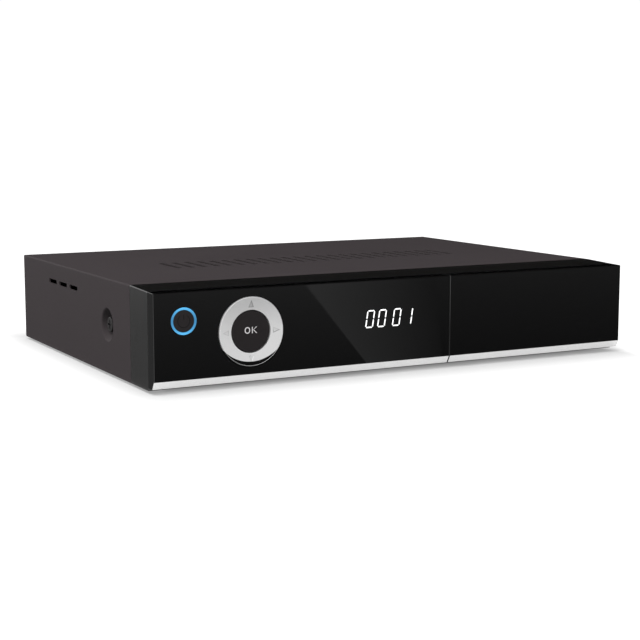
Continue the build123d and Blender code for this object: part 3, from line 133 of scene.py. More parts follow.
class ShaderSheet:
    """The nodes of one material or of the world."""

    def __init__(self, owner: Union[bpy.types.Material, bpy.types.World]) -> None:
        """Start an empty sheet.

        Args:
            owner: the material that it belongs to, or the world.
        """
        owner.use_nodes = True
        self.tree = owner.node_tree
        self.tree.nodes.clear()

    def add(
        self,
        kind: str,
        settings: Optional[Dict[str, Setting]] = None,
        inputs: Optional[Dict[Union[int, str], object]] = None,
        output: Union[int, str] = 0,
    ) -> Wire:
        """Add one node.

        Args:
            kind: the node's type name.
            settings: its properties, set first.
            inputs: values or wires for its sockets.
            output: the socket to return.

        Returns:
            The wire that leaves the node.
        """
        node = self.tree.nodes.new(kind)
        for key, value in (settings or {}).items():
            setattr(node, key, value)
        for key, value in (inputs or {}).items():
            if isinstance(value, Wire):
                self.tree.links.new(value.socket, node.inputs[key])
            else:
                node.inputs[key].default_value = value
        outputs = node.outputs
        return Wire(self, outputs[output]) if len(outputs) else Wire(self, node.inputs[0])

    def end(self, shader: Wire, kind: str = "ShaderNodeOutputMaterial") -> None:
        """Let a shader leave through the output of the material, or of the world."""
        self.add(kind, inputs={"Surface": shader})

    def place(self, stretch: Place = (1.0, 1.0, 1.0)) -> Wire:
        """Object coordinates, stretched along each axis."""
        at = self.add("ShaderNodeTexCoord", output="Object")
        return self.add("ShaderNodeMapping", inputs={"Vector": at, "Scale": stretch})

    def axes(self) -> Tuple[Wire, Wire, Wire]:
        """The x, y and z of Object coordinates, in metres."""
        at = self.add("ShaderNodeTexCoord", output="Object")
        return tuple(self.add("ShaderNodeSeparateXYZ", inputs={0: at}, output=axis) for axis in range(3))

    def noise(self, size: float, stretch: Place = (1.0, 1.0, 1.0), detail: float = 3.0) -> Wire:
        """Noise from 0 to 1 with lumps of a size in metres, finer along each axis by its stretch."""
        inputs = {"Vector": self.place(stretch), "Scale": 1.0 / size, "Detail": detail, "Roughness": 0.55}
        return self.add("ShaderNodeTexNoise", inputs=inputs)

    def mix(self, share: Number, first: Union[Colour, Wire], second: Union[Colour, Wire]) -> Wire:
        """A colour between two colours; the share of the second one runs from 0 to 1."""
        ends = [end if isinstance(end, Wire) else (*end, 1.0) for end in (first, second)]
        return self.add("ShaderNodeMix", {"data_type": "RGBA"}, {0: share, 6: ends[0], 7: ends[1]}, output=2)

    def bump(self, height: Wire, depth: float) -> Wire:
        """A surface normal from a height of 0 to 1 that stands for a real depth in metres."""
        return self.add("ShaderNodeBump", inputs={"Height": height, "Distance": depth, "Strength": 1.0})


# --- finishes ------------------------------------------------------------------------------

MADE: Dict[str, bpy.types.Material] = {}
DRIFT_SIZE = 0.045
FINE_SHARE = 0.65
DRIFT_SHARE = 0.35
TRACK_STRETCH = (1.0, 0.45, 1.0)
TRACK_DISORDER = 0.35
TRACK_WIDTH = 0.08
WAVE_LENGTH = 0.314  # metres from band to band in a wave texture of scale 1


class Grain(Enum):
    """How the fine structure of a finish runs."""

    SPECKLED = "fine lumps, as on powder coat or spark-eroded plastic"
    BRUSHED_ACROSS = "fine lines from left to right"
    TURNED = "fine rings round an axis that runs from front to back"
    PEEL = "the long soft waves of a polished moulding, with faint dust"
    FLAKED = "small bright flakes in a lacquer"
    SPANGLED = "the crystals of zinc-plated sheet"
    TRACKED = "copper tracks under a solder mask"
    RIBBED = "side-by-side wires of a flat cable"


NOISE_GRAINS: Dict[Grain, Tuple[Place, float]] = {
    Grain.SPECKLED: ((1.0, 1.0, 1.0), 3.0),
    Grain.BRUSHED_ACROSS: ((0.02, 1.0, 1.0), 2.0),
    Grain.TURNED: ((0.08, 1.0, 0.08), 2.0),
    Grain.PEEL: ((1.0, 1.0, 1.0), 1.0),
}


@dataclass(frozen=True)
class Finish:
    """One material: its two colours, its gloss and its fine structure.

    Attributes:
        name: the material's name.
        colour: its main colour, linear.
        second: the colour that the structure brings in.
        roughness: its mean roughness.
        spread: how far that goes up and down.
        metallic: 0 for plastic, paint and rubber, up to 1 for bare metal.
        grain: which fine structure it has.
        size: the structure's size in metres.
        relief: how deep the structure is in metres.
        specular: level of the plain reflection.
        glow: strength of the light it gives off.
    """

    name: str
    colour: Colour
    second: Colour
    roughness: float = 0.5
    spread: float = 0.06
    metallic: float = 0.0
    grain: Grain = Grain.SPECKLED
    size: float = 0.0004
    relief: float = 0.00002
    specular: float = 0.5
    glow: float = 0.0

    def structure(self, sheet: ShaderSheet) -> Wire:
        """Work out the fine structure.

        Args:
            sheet: the material's nodes.

        Returns:
            A height from 0 to 1.
        """
        if self.grain in NOISE_GRAINS:
            return sheet.noise(self.size, *NOISE_GRAINS[self.grain])
        scale = 1.0 / self.size
        if self.grain is Grain.TRACKED:
            inputs = {"Vector": sheet.place(TRACK_STRETCH), "Scale": scale, "Randomness": TRACK_DISORDER}
            return sheet.add("ShaderNodeTexVoronoi", {"feature": "DISTANCE_TO_EDGE"}, inputs) < TRACK_WIDTH
        if self.grain is Grain.RIBBED:
            settings = {"wave_type": "BANDS", "bands_direction": "X"}
            inputs = {"Vector": sheet.place(), "Scale": WAVE_LENGTH * scale}
            return sheet.add("ShaderNodeTexWave", settings, inputs)
        inputs = {"Vector": sheet.place(), "Scale": scale}
        return sheet.add("ShaderNodeTexVoronoi", inputs=inputs, output="Color")

    def marked(self, sheet: ShaderSheet, colour: Wire) -> Wire:
        """The colour with any marks printed over it; a plain finish has none."""
        return colour

    def material(self) -> bpy.types.Material:
        """Make the finish's material once and then share it.

        Returns:
            The material.
        """
        if self.name in MADE:
            return MADE[self.name]
        made = MADE[self.name] = bpy.data.materials.new(self.name + "_finish")
        sheet = ShaderSheet(made)
        fine = self.structure(sheet)
        drift = sheet.noise(DRIFT_SIZE, detail=2.0)
        amount = fine * FINE_SHARE + drift * DRIFT_SHARE
        colour = self.marked(sheet, sheet.mix(amount, self.colour, self.second))
        inputs = {
            "Base Color": colour,
            "Roughness": self.roughness - self.spread + fine * self.spread + drift * self.spread,
            "Metallic": self.metallic,
            "Specular IOR Level": self.specular,
            "Normal": sheet.bump(fine, self.relief),
        }
        if self.glow:
            inputs["Emission Color"] = colour
            inputs["Emission Strength"] = self.glow
        sheet.end(sheet.add("ShaderNodeBsdfPrincipled", inputs=inputs))
        return made


@dataclass(frozen=True)
class RingFinish(Finish):
    """Silver lacquer with four arrows, with painted shade on some arrow edges and a painted highlight on one,
    painted shade towards its top, and a rim in painted shade.

    Attributes:
        middle: the ring's (x, z) middle.
        arrow_tip: distance of the arrows' tips from the middle.
        arrow_base: distance of their bases.
        arrow_half: half their width at the base.
        arrow_line: width of their border.
        dark: the colour of the painted shade on the edges: the top arrow's, and the right arrow's lower one.
        dull: the colour inside the border.
        pale: the colour of the painted highlight on the lower arrow's right edge.
        faint: share of the dark colour on the other edges, and of the dull one in all but the top arrow.
        top_painted_shade: share of painted shade, in the rim's shade colour, at the ring's top.
        rim: radius outside which the rim under the bright face is in painted shade.
        arc: radius of the arc that closes the bright face.
        arc_rise: how far that arc's middle lies above the ring's.
        shade: the colour of the rim's painted shade, also used for the painted shade at the top.
    """

    middle: Pair = (0.0, 0.0)
    arrow_tip: float = 15.5 * MM
    arrow_base: float = 11.9 * MM
    arrow_half: float = 1.45 * MM
    arrow_line: float = 0.32 * MM
    dark: Colour = grey(0.40)
    dull: Colour = grey(0.66)
    pale: Colour = grey(1.0)
    faint: float = 0.30
    top_painted_shade: float = 0.23
    rim: float = 16.86 * MM
    arc: float = 20.62 * MM
    arc_rise: float = 5.79 * MM
    shade: Colour = grey(0.03)

    def marked(self, sheet: ShaderSheet, colour: Wire) -> Wire:
        """The arrows and the painted shade and highlight over the lacquer.

        An arrow is the triangle where the smallest distance to its three sides is positive; all four come
        from the larger and the smaller of the unsigned x and z. Its border is where that distance is below
        the line's width; some edges get painted shade and one a painted highlight. The lacquer takes on more
        painted shade towards the top. The rim in painted shade is where the distance from the middle is over
        the rim's radius and that from the arc's middle is over the arc's.

        Args:
            sheet: the material's nodes.
            colour: the lacquer's colour.

        Returns:
            The marked colour.
        """
        x, _, z = sheet.axes()
        x, z = x - self.middle[0], z - self.middle[1]
        flat, tall = x.size(), z.size()
        along, across = flat.larger(tall), flat.smaller(tall)
        length = self.arrow_tip - self.arrow_base
        side = math.hypot(length, self.arrow_half)
        to_side = ((self.arrow_tip - along) * self.arrow_half - across * length) / side
        inside = to_side.smaller(along - self.arrow_base)
        within = inside > 0.0
        edge = within * (inside < self.arrow_line)
        level, right, low = flat > tall, x > 0.0, z < 0.0
        upper, lower = (1.0 - level) * (1.0 - low), (1.0 - level) * low
        shaded = upper.larger(level * right * low)
        colour = sheet.mix(within * upper.larger(self.faint), colour, self.dull)
        # painted shade on the top arrow's edges and the right arrow's lower edge; the other edges are faint
        colour = sheet.mix(edge * shaded.larger(self.faint), colour, self.dark)
        # a painted highlight on the lower arrow's right edge
        colour = sheet.mix(edge * lower * right, colour, self.pale)
        # painted shade that grows towards the ring's top
        colour = sheet.mix((z / self.arrow_tip).clipped() * self.top_painted_shade, colour, self.shade)
        # painted shade on the rim under the bright face, below the arc and outside the rim's radius
        high = z - self.arc_rise
        under = (x * x + high * high > self.arc**2) * (z < 0.0)
        return sheet.mix(under * (x * x + z * z > self.rim**2), colour, self.shade)


@dataclass(frozen=True)
class LitFinish(Finish):
    """A lit ring that is brightest at its top and its bottom.

    Attributes:
        middle: height of the ring's middle.
        reach: its outside radius.
        bright: the colour at the top and the bottom.
    """

    middle: float = 0.0
    reach: float = 6.6 * MM
    bright: Colour = (0.12, 0.56, 1.0)

    def marked(self, sheet: ShaderSheet, colour: Wire) -> Wire:
        """Mix in the bright colour; its share is the square of the height over the ring's radius.

        Args:
            sheet: the material's nodes.
            colour: the ring's colour.

        Returns:
            The brightened colour.
        """
        _, _, z = sheet.axes()
        up = (z - self.middle) / self.reach
        return sheet.mix((up * up).clipped(), colour, self.bright)


@dataclass(frozen=True)
class SeamFinish(Finish):
    """A finish with a line of another colour along the seam between the plate and the flap: a painted
    highlight of the seam's edges on the gloss black, and a dark joint on the bright strip.

    Attributes:
        seam: the seam's x.
        line: half the line's width.
        edge: the line's colour; its default is the gloss black's painted highlight.
    """

    seam: float = 0.0
    line: float = 0.22 * MM
    edge: Colour = grey(0.040)

    def marked(self, sheet: ShaderSheet, colour: Wire) -> Wire:
        """The line is where x is nearer to the seam than half the line's width."""
        x, _, _ = sheet.axes()
        # on the gloss black this line is a painted highlight of the seam's edges
        return sheet.mix((x - self.seam).size() < self.line, colour, self.edge)


@dataclass(frozen=True)
class PaintedShadeCoatFinish(Finish):
    """Powder coat with painted shade in the two round dimples of the cover's sides.

    Attributes:
        dimple: the dimples' (y, z) middle.
        reach: their radius.
        steep: how fast the shade sets in at their edge.
        middle_share: share of the shade at the height of their middle.
        upward: how much that share grows over one radius upwards.
        depth: share of the shade at most.
        shade: the colour of the painted shade.
    """

    dimple: Pair = (0.0, 0.0)
    reach: float = 8.6 * MM
    steep: float = 5.0
    middle_share: float = 0.65
    upward: float = 0.7
    depth: float = 0.68
    shade: Colour = grey(0.004)

    def marked(self, sheet: ShaderSheet, colour: Wire) -> Wire:
        """Mix in the painted shade, inside the radius and growing less towards the dimple's lower edge.

        Args:
            sheet: the material's nodes.
            colour: the coat's colour.

        Returns:
            The shaded colour.
        """
        _, y, z = sheet.axes()
        y, z = y - self.dimple[0], z - self.dimple[1]
        # painted shade inside each side dimple, strongest towards its top
        inside = ((1.0 - (y * y + z * z) / self.reach**2) * self.steep).clipped()
        height = (self.middle_share + z / self.reach * self.upward).clipped()
        return sheet.mix(inside * height * self.depth, colour, self.shade)


SIDE_SCREWS = middle_of(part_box("cover_side_screws"))
KEYS = middle_of(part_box("ok_button"))
LIT_RING = middle_of(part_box("lit_ring"))
# the powder coat darkens the side dimples with painted shade
POWDER_COAT = PaintedShadeCoatFinish("powder_coat", (0.0490, 0.0415, 0.0438), (0.0635, 0.0542, 0.0570), 0.60, 0.05,
                         size=0.0006, relief=0.00003, specular=0.06, dimple=(SIDE_SCREWS.y, SIDE_SCREWS.z))
ZINC = Finish("zinc_sheet", (0.50, 0.51, 0.52), (0.62, 0.63, 0.64), 0.42, 0.08, 0.85, Grain.SPANGLED, 0.006,
              0.000002)
FRAME_BLACK = Finish("frame_plastic", (0.0108, 0.0104, 0.0104), (0.0134, 0.0130, 0.0130), 0.28, 0.02,
                     size=0.0003, relief=0.000001, specular=1.0)
# the gloss black's pale seam line is a painted highlight of the seam's edges
GLOSS_BLACK = SeamFinish("gloss_black", (0.0026, 0.0026, 0.0027), (0.0036, 0.0036, 0.0037), 0.03, 0.010,
                         grain=Grain.PEEL, size=0.004, relief=0.0000012, seam=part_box("front_flap")[0].x)
BRIGHT_STRIP = SeamFinish("bright_strip", grey(0.96), grey(1.0), 0.26, 0.04, 0.75, Grain.BRUSHED_ACROSS,
                          0.0002, 0.0000015, seam=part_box("flap_strip")[0].x, line=0.40 * MM,
                          edge=grey(0.03))
# the ring's lacquer carries painted shade at its top, rim and arrow edges, and a painted highlight
RING_SILVER = RingFinish("ring_silver", grey(0.80), grey(0.88), 0.36, 0.05, 0.04, Grain.FLAKED, 0.00018,
                         0.000002, middle=(KEYS.x, KEYS.z))
KEY_BLACK = Finish("key_black", (0.0205, 0.0175, 0.0183), (0.0262, 0.0222, 0.0235), 0.50, 0.04,
                   size=0.00025, relief=0.000006, specular=0.22)
LIT_BLUE = LitFinish("lit_blue", (0.046, 0.23, 0.46), (0.060, 0.27, 0.51), 0.30, 0.04, grain=Grain.PEEL,
                     size=0.0025, relief=0.000002, specular=0.3, glow=0.30, middle=LIT_RING.z)
LIT_WHITE = Finish("lit_white", (0.92, 0.93, 0.93), grey(1.0), 0.35, 0.03, grain=Grain.PEEL, size=0.001,
                   relief=0.000001, specular=0.3, glow=0.85)
PRINT_WHITE = Finish("print_white", (0.82, 0.80, 0.81), (0.90, 0.88, 0.89), 0.55, 0.04, size=0.0002,
                     relief=0.000003)
PRINT_DARK = Finish("print_dark", (0.0112, 0.0104, 0.0106), (0.0132, 0.0124, 0.0126), 0.60, 0.04,
                    size=0.0002, relief=0.000003, specular=0.12)
# a black plate standing in for the dark reflection in the ring's bottom: painted reflection
CRESCENT_PAINTED_REFLECTION = Finish("crescent_painted_reflection", grey(0.0020), grey(0.0030), 0.10, 0.03, grain=Grain.PEEL,
                        size=0.003, relief=0.000001, specular=0.4)
RUBBER = Finish("rubber", grey(0.011), grey(0.019), 0.82, size=0.0005, relief=0.00003, specular=0.3)
BLACK_SCREW = Finish("black_screw", (0.026, 0.024, 0.025), (0.052, 0.049, 0.050), 0.36, 0.08, 0.45,
                     Grain.TURNED, relief=0.000008)
STEEL = Finish("steel", (0.50, 0.50, 0.51), (0.62, 0.62, 0.63), 0.30, 0.08, 1.0, Grain.TURNED,
               relief=0.000004)
NICKEL = Finish("nickel", (0.62, 0.60, 0.55), (0.74, 0.72, 0.66), 0.22, 0.06, 1.0, Grain.TURNED, 0.0005,
                0.000003)
GOLD = Finish("gold_contact", (0.72, 0.50, 0.18), (0.83, 0.61, 0.26), 0.25, 0.05, 1.0, Grain.TURNED, 0.0003,
              0.000002)
BOARD_GREEN = Finish("board_green", (0.014, 0.085, 0.034), (0.030, 0.155, 0.066), 0.35, 0.05,
                     grain=Grain.TRACKED, size=0.006, relief=0.00003)
INNER_PLASTIC = Finish("inner_plastic", (0.028, 0.028, 0.030), (0.042, 0.042, 0.044), 0.50, 0.05,
                       relief=0.00001)
NATURAL = Finish("natural_plastic", (0.44, 0.42, 0.36), (0.56, 0.54, 0.48), 0.45, 0.05, size=0.0008,
                 relief=0.00001)
CHIP_BLACK = Finish("chip_black", (0.018, 0.018, 0.020), (0.030, 0.030, 0.032), 0.58, 0.05, size=0.0003,
                    relief=0.000008)
SINK_BLACK = Finish("sink_black", (0.035, 0.035, 0.040), (0.060, 0.060, 0.065), 0.42, 0.06, 0.7,
                    Grain.BRUSHED_ACROSS, relief=0.000008)
RIBBON_GREY = Finish("ribbon_grey", (0.33, 0.34, 0.36), (0.48, 0.49, 0.51), 0.50, 0.04, grain=Grain.RIBBED,
                     size=0.00127, relief=0.0002)
SOCKET_BLACK = Finish("socket_black", (0.016, 0.016, 0.017), (0.028, 0.028, 0.029), 0.42, 0.05,
                      relief=0.00001)
PHONO_ORANGE = Finish("phono_orange", (0.62, 0.18, 0.022), (0.76, 0.25, 0.035), 0.38, 0.05, size=0.0006,
                      relief=0.00001)
MAGNET = Finish("magnet", (0.50, 0.49, 0.47), (0.60, 0.59, 0.57), 0.28, 0.05, 1.0, Grain.TURNED, 0.0005,
                0.000003)
LAMP_WHITE = Finish("lamp_white", (0.68, 0.72, 0.62), (0.80, 0.83, 0.74), 0.30, 0.05, relief=0.00001)
STEEL_SHEET = Finish("steel_sheet", (0.54, 0.54, 0.52), (0.68, 0.68, 0.66), 0.30, 0.07, 1.0, Grain.SPANGLED,
                     0.004, 0.000002)


# --- surfaces worked out with numpy ----------------------------------------------------------


def outward(mesh: bpy.types.Mesh) -> None:
    """Turn every face of a closed mesh outwards.

    Args:
        mesh: the mesh, changed in place.
    """
    work = bmesh.new()
    work.from_mesh(mesh)
    bmesh.ops.recalc_face_normals(work, faces=work.faces)
    work.to_mesh(mesh)
    work.free()


def make_object(name: str, shape: Shape, finish: Finish, smooth: bool) -> bpy.types.Object:
    """Put a shape into a mesh object at the origin, with outward faces and one finish.

    Args:
        name: the piece's name.
        shape: its points in metres, one row each, and its faces as lists of point numbers.
        finish: what it is made of.
        smooth: whether its faces are shaded round.

    Returns:
        The new object.
    """
    points, faces = shape
    mesh = bpy.data.meshes.new(name)
    mesh.from_pydata(points.tolist(), [], faces)
    mesh.validate()
    if smooth:
        mesh.shade_smooth()
    else:
        mesh.shade_flat()
    mesh.materials.append(finish.material())
    outward(mesh)
    piece = bpy.data.objects.new(name, mesh)
    bpy.context.scene.collection.objects.link(piece)
    return piece


def rays(angle: np.ndarray) -> np.ndarray:
    """(cosine, sine) of each angle, one row each."""
    return np.stack([np.cos(angle), np.sin(angle)], axis=-1)


def round_axis(axis: Pair, y: np.ndarray, radius: np.ndarray, angle: np.ndarray) -> np.ndarray:
    """Points round an axis from front to back: the axis plus radius times (cosine, sine) of the angle."""
    x, z = axis[0] + radius * np.cos(angle), axis[1] + radius * np.sin(angle)
    return np.stack(np.broadcast_arrays(x, y, z), axis=-1)


def oblong(low: Pair, high: Pair) -> np.ndarray:
    """An upright rectangle's outline from its low and its high (x, z) corner."""
    return np.array([low, (high[0], low[1]), high, (low[0], high[1])])


def plate_stack(outlines: np.ndarray, front: float, back: float) -> Shape:
    """Upright plates from flat outlines.

    Each outline is an (x, z) loop that runs anticlockwise as seen from the front; a plate is that loop at the
    front depth joined to the same loop at the back depth, closed by the loop itself at both ends.

    Args:
        outlines: an array of plates by corners by (x, z).
        front: the Y of the plates' front.
        back: the Y of their back.

    Returns:
        The points and faces.
    """
    count, corners, _ = outlines.shape
    points = np.zeros((count, 2, corners, 3))
    points[..., ::2] = outlines[:, None]
    points[..., 1] = np.array([front, back])[:, None]
    near = np.arange(count)[:, None] * corners * 2 + np.arange(corners)
    far = near + corners
    sides = np.stack([near, far, np.roll(far, -1, axis=1), np.roll(near, -1, axis=1)], axis=-1)
    faces = near.tolist() + far[:, ::-1].tolist() + sides.reshape(-1, 4).tolist()
    return points.reshape(-1, 3), faces


def arc_band(centre: Pair, radii: Pair, turn: Pair, steps: int) -> np.ndarray:
    """A flat band between two arcs, as one outline.

    A point on either arc is the centre plus its radius times (cosine, sine) of the angle; the outer arc runs
    forward and the inner one back.

    Args:
        centre: the arcs' (x, z) middle.
        radii: the inner and the outer radius.
        turn: the first and last angle in degrees.
        steps: points on each arc.

    Returns:
        The outline's corners as (x, z).
    """
    ray = rays(np.radians(np.linspace(turn[0], turn[1], steps)))
    return np.concatenate([ray * radii[1], ray[::-1] * radii[0]]) + np.array(centre)


def ring_of_loops(loops: np.ndarray) -> Shape:
    """A ring of closed loops, each joined to the next by a band of faces and the last to the first.

    Args:
        loops: an array of loops by points by (x, y, z).

    Returns:
        The points and faces.
    """
    count, length, _ = loops.shape
    grid = np.arange(count * length).reshape(count, length)
    below, right = np.roll(grid, -1, axis=0), np.roll(grid, -1, axis=1)
    quads = np.stack([grid, right, np.roll(below, -1, axis=1), below], axis=-1).reshape(-1, 4)
    return loops.reshape(-1, 3), quads.tolist()


def turned(profile: np.ndarray, ripple: np.ndarray, axis: Pair, steps: int) -> Shape:
    """A body turned round an axis that runs from front to back, with an optional screw thread.

    A point is the axis plus radius times (cosine, sine) of the angle, where the radius is the profile's less
    the ripple's depth times a triangle wave of (y / pitch - angle / full turn). Both ends close in a pole.

    Args:
        profile: rows of (y, radius) from one pole to the other.
        ripple: rows of (thread depth, thread pitch), one for each profile row.
        axis: the axis's (x, z).
        steps: points round.

    Returns:
        The points and faces.
    """
    angle = np.linspace(0.0, math.tau, steps, endpoint=False)[None]
    y = profile[1:-1, :1]
    phase = y / ripple[1:-1, 1:] - angle / math.tau
    wave = np.abs((phase % 1.0) * 2.0 - 1.0)
    rings = round_axis(axis, y, profile[1:-1, 1:] - ripple[1:-1, :1] * wave, angle)
    poles = np.array([[axis[0], profile[end, 0], axis[1]] for end in (0, -1)])
    rows = len(profile) - 2
    grid = np.arange(rows * steps).reshape(rows, steps)
    right = np.roll(grid, -1, axis=1)
    quads = np.stack([grid[:-1], grid[1:], right[1:], right[:-1]], axis=-1).reshape(-1, 4)
    first = np.stack([np.full(steps, rows * steps), grid[0], right[0]], axis=-1)
    last = np.stack([np.full(steps, rows * steps + 1), right[-1], grid[-1]], axis=-1)
    faces = quads.tolist() + first.tolist() + last.tolist()
    return np.concatenate([rings.reshape(-1, 3), poles]), faces


def sleeve(section: np.ndarray, axis: Pair, steps: int) -> Shape:
    """A closed ring: a section loop of (y, radius) carried once round an axis from front to back."""
    angle = np.linspace(0.0, math.tau, steps, endpoint=False)[None]
    return ring_of_loops(round_axis(axis, section[:, :1], section[:, 1:], angle))


def bent_strips(paths: np.ndarray, width: float, thickness: float) -> Shape:
    """Flat strips carried along paths that lie in planes of constant x.

    The section at a path point is a rectangle, half the width to each side in x and half the thickness up and
    down in z; sections are joined in order and the two ends are closed.

    Args:
        paths: an array of strips by points by (x, y, z).
        width: the strips' width in x.
        thickness: their thickness in z.

    Returns:
        The points and faces.
    """
    corners = np.array([[-1, 0, -1], [1, 0, -1], [1, 0, 1], [-1, 0, 1]])
    points = paths[:, :, None] + corners * np.array([width, 0.0, thickness]) / 2
    count, length = paths.shape[:2]
    grid = np.arange(count * length * 4).reshape(count, length, 4)
    side = np.roll(grid, -1, axis=2)
    quads = np.stack([grid[:, :-1], side[:, :-1], side[:, 1:], grid[:, 1:]], axis=-1).reshape(-1, 4)
    ends = grid[:, 0, ::-1].tolist() + grid[:, -1].tolist()
    return points.reshape(-1, 3), quads.tolist() + ends


def several(parts: Sequence[Shape]) -> Shape:
    """Several shapes as one: the corner numbers of each are raised by the points before it.

    Args:
        parts: the shapes in order.

    Returns:
        The points and faces.
    """
    starts = np.cumsum([0] + [len(points) for points, _ in parts[:-1]]).tolist()
    faces = [[corner + start for corner in face] for start, (_, rows) in zip(starts, parts) for face in rows]
    return np.concatenate([points for points, _ in parts]), faces


# --- sub-assemblies --------------------------------------------------------------------------


class Assembly:
    """What every sub-assembly shares: dressing CAD nodes and adding pieces."""

    finishes: Dict[Finish, Tuple[str, ...]] = {}

    def build(self) -> None:
        """Add the new pieces; a sub-assembly that is all CAD has none."""

    def dress(self) -> None:
        """Give each of the sub-assembly's CAD nodes its finish."""
        for finish, nodes in self.finishes.items():
            for node in nodes:
                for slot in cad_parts[node].material_slots:
                    slot.material = finish.material()
                log.info("dressed %s in %s", node, finish.name)

    def add(self, name: str, shape: Shape, finish: Finish, body: str, slot: str,
            smooth: bool = False) -> bpy.types.Object:
        """Make a new piece that rides on a body.

        Args:
            name: the piece's name.
            shape: its points and faces.
            finish: what it is made of.
            body: the CAD body that it moves with.
            slot: the record's material slot for the piece's finish; not used.
            smooth: whether it is shaded round.

        Returns:
            The piece.
        """
        piece = make_object(name, shape, finish, smooth)
        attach(piece, body)
        log.info("added %s on %s, %d faces", name, body, len(piece.data.polygons))
        return piece


class Case(Assembly):
    """Cover, pan, rear panel, feet and their screws, all CAD."""

    finishes = {
        POWDER_COAT: ("top_cover", "rear_panel"),
        ZINC: ("bottom_pan",),
        RUBBER: ("rubber_feet",),
        BLACK_SCREW: ("cover_side_screws", "cover_rear_screws", "pan_screws"),
    }


class FrontPlate(Assembly):
    """Front frame, gloss plate and flap with their bright strips, hinge and catch, all CAD."""

    finishes = {
        FRAME_BLACK: ("front_frame",),
        GLOSS_BLACK: ("front_fascia", "front_flap"),
        BRIGHT_STRIP: ("fascia_strip", "flap_strip"),
        STEEL: ("flap_hinge_pins", "flap_catch_plate"),
        MAGNET: ("flap_catch_magnet",),
    }


@dataclass
class StandbyKey(Assembly):
    """The standby key in its lit ring, with a faint power sign.

    Attributes:
        sign_radius: radius of the sign's open circle.
        sign_line: width of its line.
        sign_turn: first and last angle of the circle in degrees.
        sign_bar: heights of the bar's ends as shares of the radius.
        steps: points on each edge of the circle.
        proud: how far the print stands out of the key.
    """

    sign_radius: float = 3.1 * MM
    sign_line: float = 0.38 * MM
    sign_turn: Pair = (125.0, 415.0)
    sign_bar: Pair = (0.25, 1.05)
    steps: int = 40
    proud: float = 0.02 * MM

    finishes = {
        LIT_BLUE: ("lit_ring",),
        KEY_BLACK: ("power_button",),
    }

    def build(self) -> None:
        """A circle left open at its top, and an upright bar in the opening."""
        middle = centre_of("power_button")
        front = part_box("power_button")[0].y
        at = (middle.x, middle.z)
        half = self.sign_line / 2
        circle = arc_band(at, (self.sign_radius - half, self.sign_radius + half), self.sign_turn, self.steps)
        low, high = (at[1] + self.sign_radius * share for share in self.sign_bar)
        outlines = (circle, oblong((at[0] - half, low), (at[0] + half, high)))
        shape = several([plate_stack(one[None], front - self.proud, front + self.proud) for one in outlines])
        self.add("standby_sign", shape, PRINT_DARK, "power_key", "key_black")


# Corners of the K's strokes: (widths, strokes) from its left and (half heights, strokes) from its middle.
K_STROKES = np.array([
    [[0, 0, -1, 0], [0, 1, -1, 0], [0, 1, 1, 0], [0, 0, 1, 0]],
    [[0, 0.7, 0, -0.2], [0, 1.6, 0, 0.1], [1, 0, 1, 0], [1, -1.25, 1, 0]],
    [[0, 1.25, 0, 0.35], [1, -1.2, -1, 0], [1, 0, -1, 0], [0, 1.95, 0, 0.75]],
])


